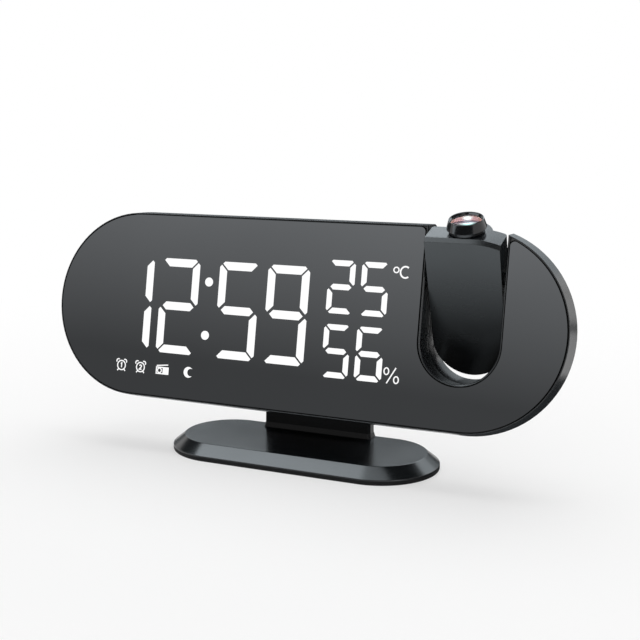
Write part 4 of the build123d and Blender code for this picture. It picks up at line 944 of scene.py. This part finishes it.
def glow(name, strengths, places, axis, colour):
    """Light that goes from one strength to another between two places along an axis."""
    low, high = strengths
    start, end = places
    material = blank(bpy.data.materials.new(name))
    place = add_node(material, "ShaderNodeTexCoord").outputs["Object"]
    parts = add_node(material, "ShaderNodeSeparateXYZ", inputs={"Vector": place})
    ramp = {"Value": parts.outputs[axis], "From Min": start, "From Max": end, "To Min": low, "To Max": high}
    strength = add_node(material, "ShaderNodeMapRange", inputs=ramp).outputs["Result"]
    shader = add_node(material, "ShaderNodeEmission", inputs={"Strength": strength, "Color": (*colour, 1.0)})
    add_node(material, "ShaderNodeOutputMaterial", inputs={"Surface": shader.outputs["Emission"]})
    return material


def pale_floor():
    """Matt white floor that turns to plain white light with distance, so that no horizon shows."""
    material = blank(bpy.data.materials.new("floor_matt_white"))
    place = add_node(material, "ShaderNodeTexCoord").outputs["Object"]
    far = add_node(material, "ShaderNodeVectorMath", {"operation": "LENGTH"}, {0: place}).outputs["Value"]
    # half matt and half light under the clock, and light alone from 0.4 m out
    ramp = {"Value": far, "From Min": 0.1, "From Max": 0.4, "To Min": 0.5}
    share = add_node(material, "ShaderNodeMapRange", {"interpolation_type": "SMOOTHSTEP"}, ramp)
    matt = add_node(material, "ShaderNodeBsdfDiffuse", inputs={"Color": (*linear("#f7f7f7"), 1)})
    white = add_node(material, "ShaderNodeEmission")
    mixed = {0: share.outputs["Result"], 1: matt.outputs["BSDF"], 2: white.outputs["Emission"]}
    blend = add_node(material, "ShaderNodeMixShader", inputs=mixed)
    add_node(material, "ShaderNodeOutputMaterial", inputs={"Surface": blend.outputs["Shader"]})
    return material


def white_world(strength):
    """White to the camera, glossy and transmitted rays, and a dimmer even light to the rest."""
    world = blank(bpy.data.worlds.new("studio"))
    path = add_node(world, "ShaderNodeLightPath").outputs
    straight = {0: path["Is Camera Ray"], 1: path["Is Glossy Ray"]}
    seen = add_node(world, "ShaderNodeMath", {"operation": "MAXIMUM"}, straight)
    either = {0: seen.outputs[0], 1: path["Is Transmission Ray"]}
    shown = add_node(world, "ShaderNodeMath", {"operation": "MAXIMUM"}, either)
    level = {"Value": shown.outputs[0], "To Min": strength, "To Max": 1.0}
    amount = add_node(world, "ShaderNodeMapRange", inputs=level).outputs["Result"]
    light = add_node(world, "ShaderNodeBackground", inputs={"Strength": amount, "Color": (*NEUTRAL, 1)})
    add_node(world, "ShaderNodeOutputWorld", inputs={"Surface": light.outputs["Background"]})
    bpy.context.scene.world = world


def card(name, centre, facing, size, strengths, heights=(0.0, 1.0), colour=COOL):
    """A rectangle across a direction, seen only in reflections.

    Its glow goes from the first strength to the second between two heights.
    """
    facing = np.array(facing) / np.linalg.norm(facing)
    side = np.cross(facing, (0, 0, 1))
    side = side / np.linalg.norm(side)
    rise = np.cross(side, facing)
    width, height = size
    corners = [(-1, -1), (1, -1), (1, 1), (-1, 1)]
    points = [np.array(centre) + a * side * width / 2 + b * rise * height / 2 for a, b in corners]
    material = glow(name + "_glow", strengths, heights, "Z", colour)
    return stage_piece(name, (points, [[0, 1, 2, 3]]), material, glossy_only=True)


def floor_card(name, across, along_floor, strengths, depths=(0.0, 1.0)):
    """A rectangle just over the floor, seen only in reflections.

    Its glow goes from the first strength to the second between two places from front to back.
    """
    (left, right), (front, back) = across, along_floor
    outline = [(left, front), (right, front), (right, back), (left, back)]
    points = [(x, y, FLOOR_CARD_LIFT) for x, y in outline]
    material = glow(name, strengths, depths, "Y", COOL)
    return stage_piece(name, (points, [[0, 1, 2, 3]]), material, glossy_only=True)


class CLOCK_OT_studio(bpy.types.Operator):
    """Sets up floor, background, lights and camera"""

    bl_idname = "clock.studio"
    bl_label = "Studio"

    def execute(self, context):
        scene = context.scene
        scene.view_settings.view_transform = "Standard"
        rings = lathe_rings([(radius, 0) for radius in FLOOR_RADII], FLOOR_STEPS)
        faces = ring_faces(len(FLOOR_RADII), FLOOR_STEPS) + [list(range(FLOOR_STEPS))]
        stage_piece("floor", (rings.reshape(-1, 3), faces), pale_floor())
        white_world(WORLD_LIGHT)
        over = lamp("softbox", (-0.05, 0.4, 1.1), (0, 0.2, 0), 1.3, 1.1, 8.0)
        fill = lamp("front_fill", (0.5, -1.2, 0.8), (0, 0, 0.04), 1.0, 0.8, 1.5)
        over.visible_glossy = fill.visible_glossy = False
        # down is a little off the vertical, so that a card that faces down has a side
        down, forward = (0, 0.001, -1), (0, -1, 0)
        to_bevel, to_mirror = (0.4, 0.7, -0.6), (0.4, 0.9, -0.165)
        cards = [
            # pale, brighter upwards: what the mirror shows
            card("front_card", (-0.6, -1.35, 0.32), to_mirror, (2.6, 1.0), (0.42, 1.5), (0.2, 0.56), NEUTRAL),
            # above it, for the narrow bevel over the pod's face: pale on the left, dark on the right
            card("bevel_card", (-0.94, -0.75, 1.15), to_bevel, (1.66, 0.9), (3.0, 3.0)),
            card("bevel_flag", (0.22, -1.41, 1.15), to_bevel, (0.96, 0.9), (0.03, 0.03)),
            # bright overhead, for the chamfer along the base, and dimmer towards its right end
            card("over_card", (-0.585, -0.05, 1.1), down, (0.63, 0.8), (5.0, 5.0)),
            card("over_card_dim", (-0.01, -0.05, 1.1), down, (0.52, 0.8), (2.2, 2.2)),
            # dark round it, for the bands at the chamfer's ends
            card("roof_flag", (0, 0.5, 1.45), down, (5.0, 2.6), (0.15, 0.15)),
            # bright behind and above, for the pod's top and the rim
            card("rear_card", (0.2, 1.32, 0.975), (0, -0.9, -0.43), (3.4, 0.83), (1.6, 3.2), (0.6, 1.2)),
            # dim behind and low on the left, for the base's flat top
            card("rear_flag", (-1.42, 1.5, 0.28), forward, (2.4, 0.68), (0.2, 0.2)),
            # darker behind on the right, for the slot's walls and the pod's side
            card("slot_flag", (0.04, 1.35, -0.12), forward, (0.48, 0.76), (0.12, 0.12)),
            card("side_flag", (0.4, 1.34, -0.1), forward, (0.24, 0.6), (0.03, 0.03)),
            # bright on the right, for the focus ring's side
            card("ring_card", (1.25, -0.9, 0.1), (-0.81, 0.58, 0), (0.5, 0.6), (4.0, 4.0)),
            # between the slot's dark and the rear card's bright, for the rim
            card("rim_flag", (0.13, 1.36, 0.43), forward, (0.66, 0.34), (0.7, 0.7)),
            # on the floor: what the pod's face, the focus ring, the slot and the rim's underside show
            floor_card("pod_glow", (-0.3, 0.3), (-0.17, -0.026), (2.4, 0.0), (-0.1, -0.047)),
            floor_card("ring_shade", (-2.5, 0.35), (-2.5, -0.17), (0.1, 0.1)),
            floor_card("slot_shade", (-0.6, 0.45), (0.38, 1.3), (0.05, 0.05)),
            floor_card("rim_shade", (0.05, 0.135), (-0.02, 0.085), (0.05, 0.05)),
        ]
        data = bpy.data.cameras.new("camera")
        data.lens, data.sensor_width = FOCAL_LENGTH, SENSOR_WIDTH
        camera = aimed(add_object("camera", data), CAMERA_PLACE, CAMERA_TARGET)
        scene.camera = camera
        return {"FINISHED"}


OPERATORS = [
    CLOCK_OT_finishes,
    CLOCK_OT_base_cover,
    CLOCK_OT_base_pad,
    CLOCK_OT_focus_ring,
    CLOCK_OT_lens,
    CLOCK_OT_screws,
    CLOCK_OT_figures,
    CLOCK_OT_signs,
    CLOCK_OT_studio,
]


class CLOCK_PT_panel(bpy.types.Panel):
    """Lists the clock's pieces, colours and sizes"""

    bl_idname = "CLOCK_PT_panel"
    bl_label = "Projection alarm clock"
    bl_space_type = "VIEW_3D"
    bl_region_type = "UI"
    bl_category = "Clock"

    def draw(self, context):
        for operator in OPERATORS:
            self.layout.operator(operator.bl_idname)
        for group in (context.scene.clock_colours, context.scene.clock_sizes):
            box = self.layout.box()
            for name in group.__annotations__:
                box.prop(group, name)


CLASSES = [ClockColours, ClockSizes, *OPERATORS, CLOCK_PT_panel]


def register():
    """Registers the classes and hangs the colours and sizes on the scene."""
    for kind in CLASSES:
        bpy.utils.register_class(kind)
    bpy.types.Scene.clock_colours = PointerProperty(type=ClockColours)
    bpy.types.Scene.clock_sizes = PointerProperty(type=ClockSizes)


def unregister():
    """Takes away what register added."""
    del bpy.types.Scene.clock_colours, bpy.types.Scene.clock_sizes
    for kind in reversed(CLASSES):
        bpy.utils.unregister_class(kind)


def main():
    """Makes every piece and the studio in order."""
    register()
    for operator in OPERATORS:
        group, name = operator.bl_idname.split(".")
        getattr(getattr(bpy.ops, group), name)()


if __name__ == "__main__":
    main()
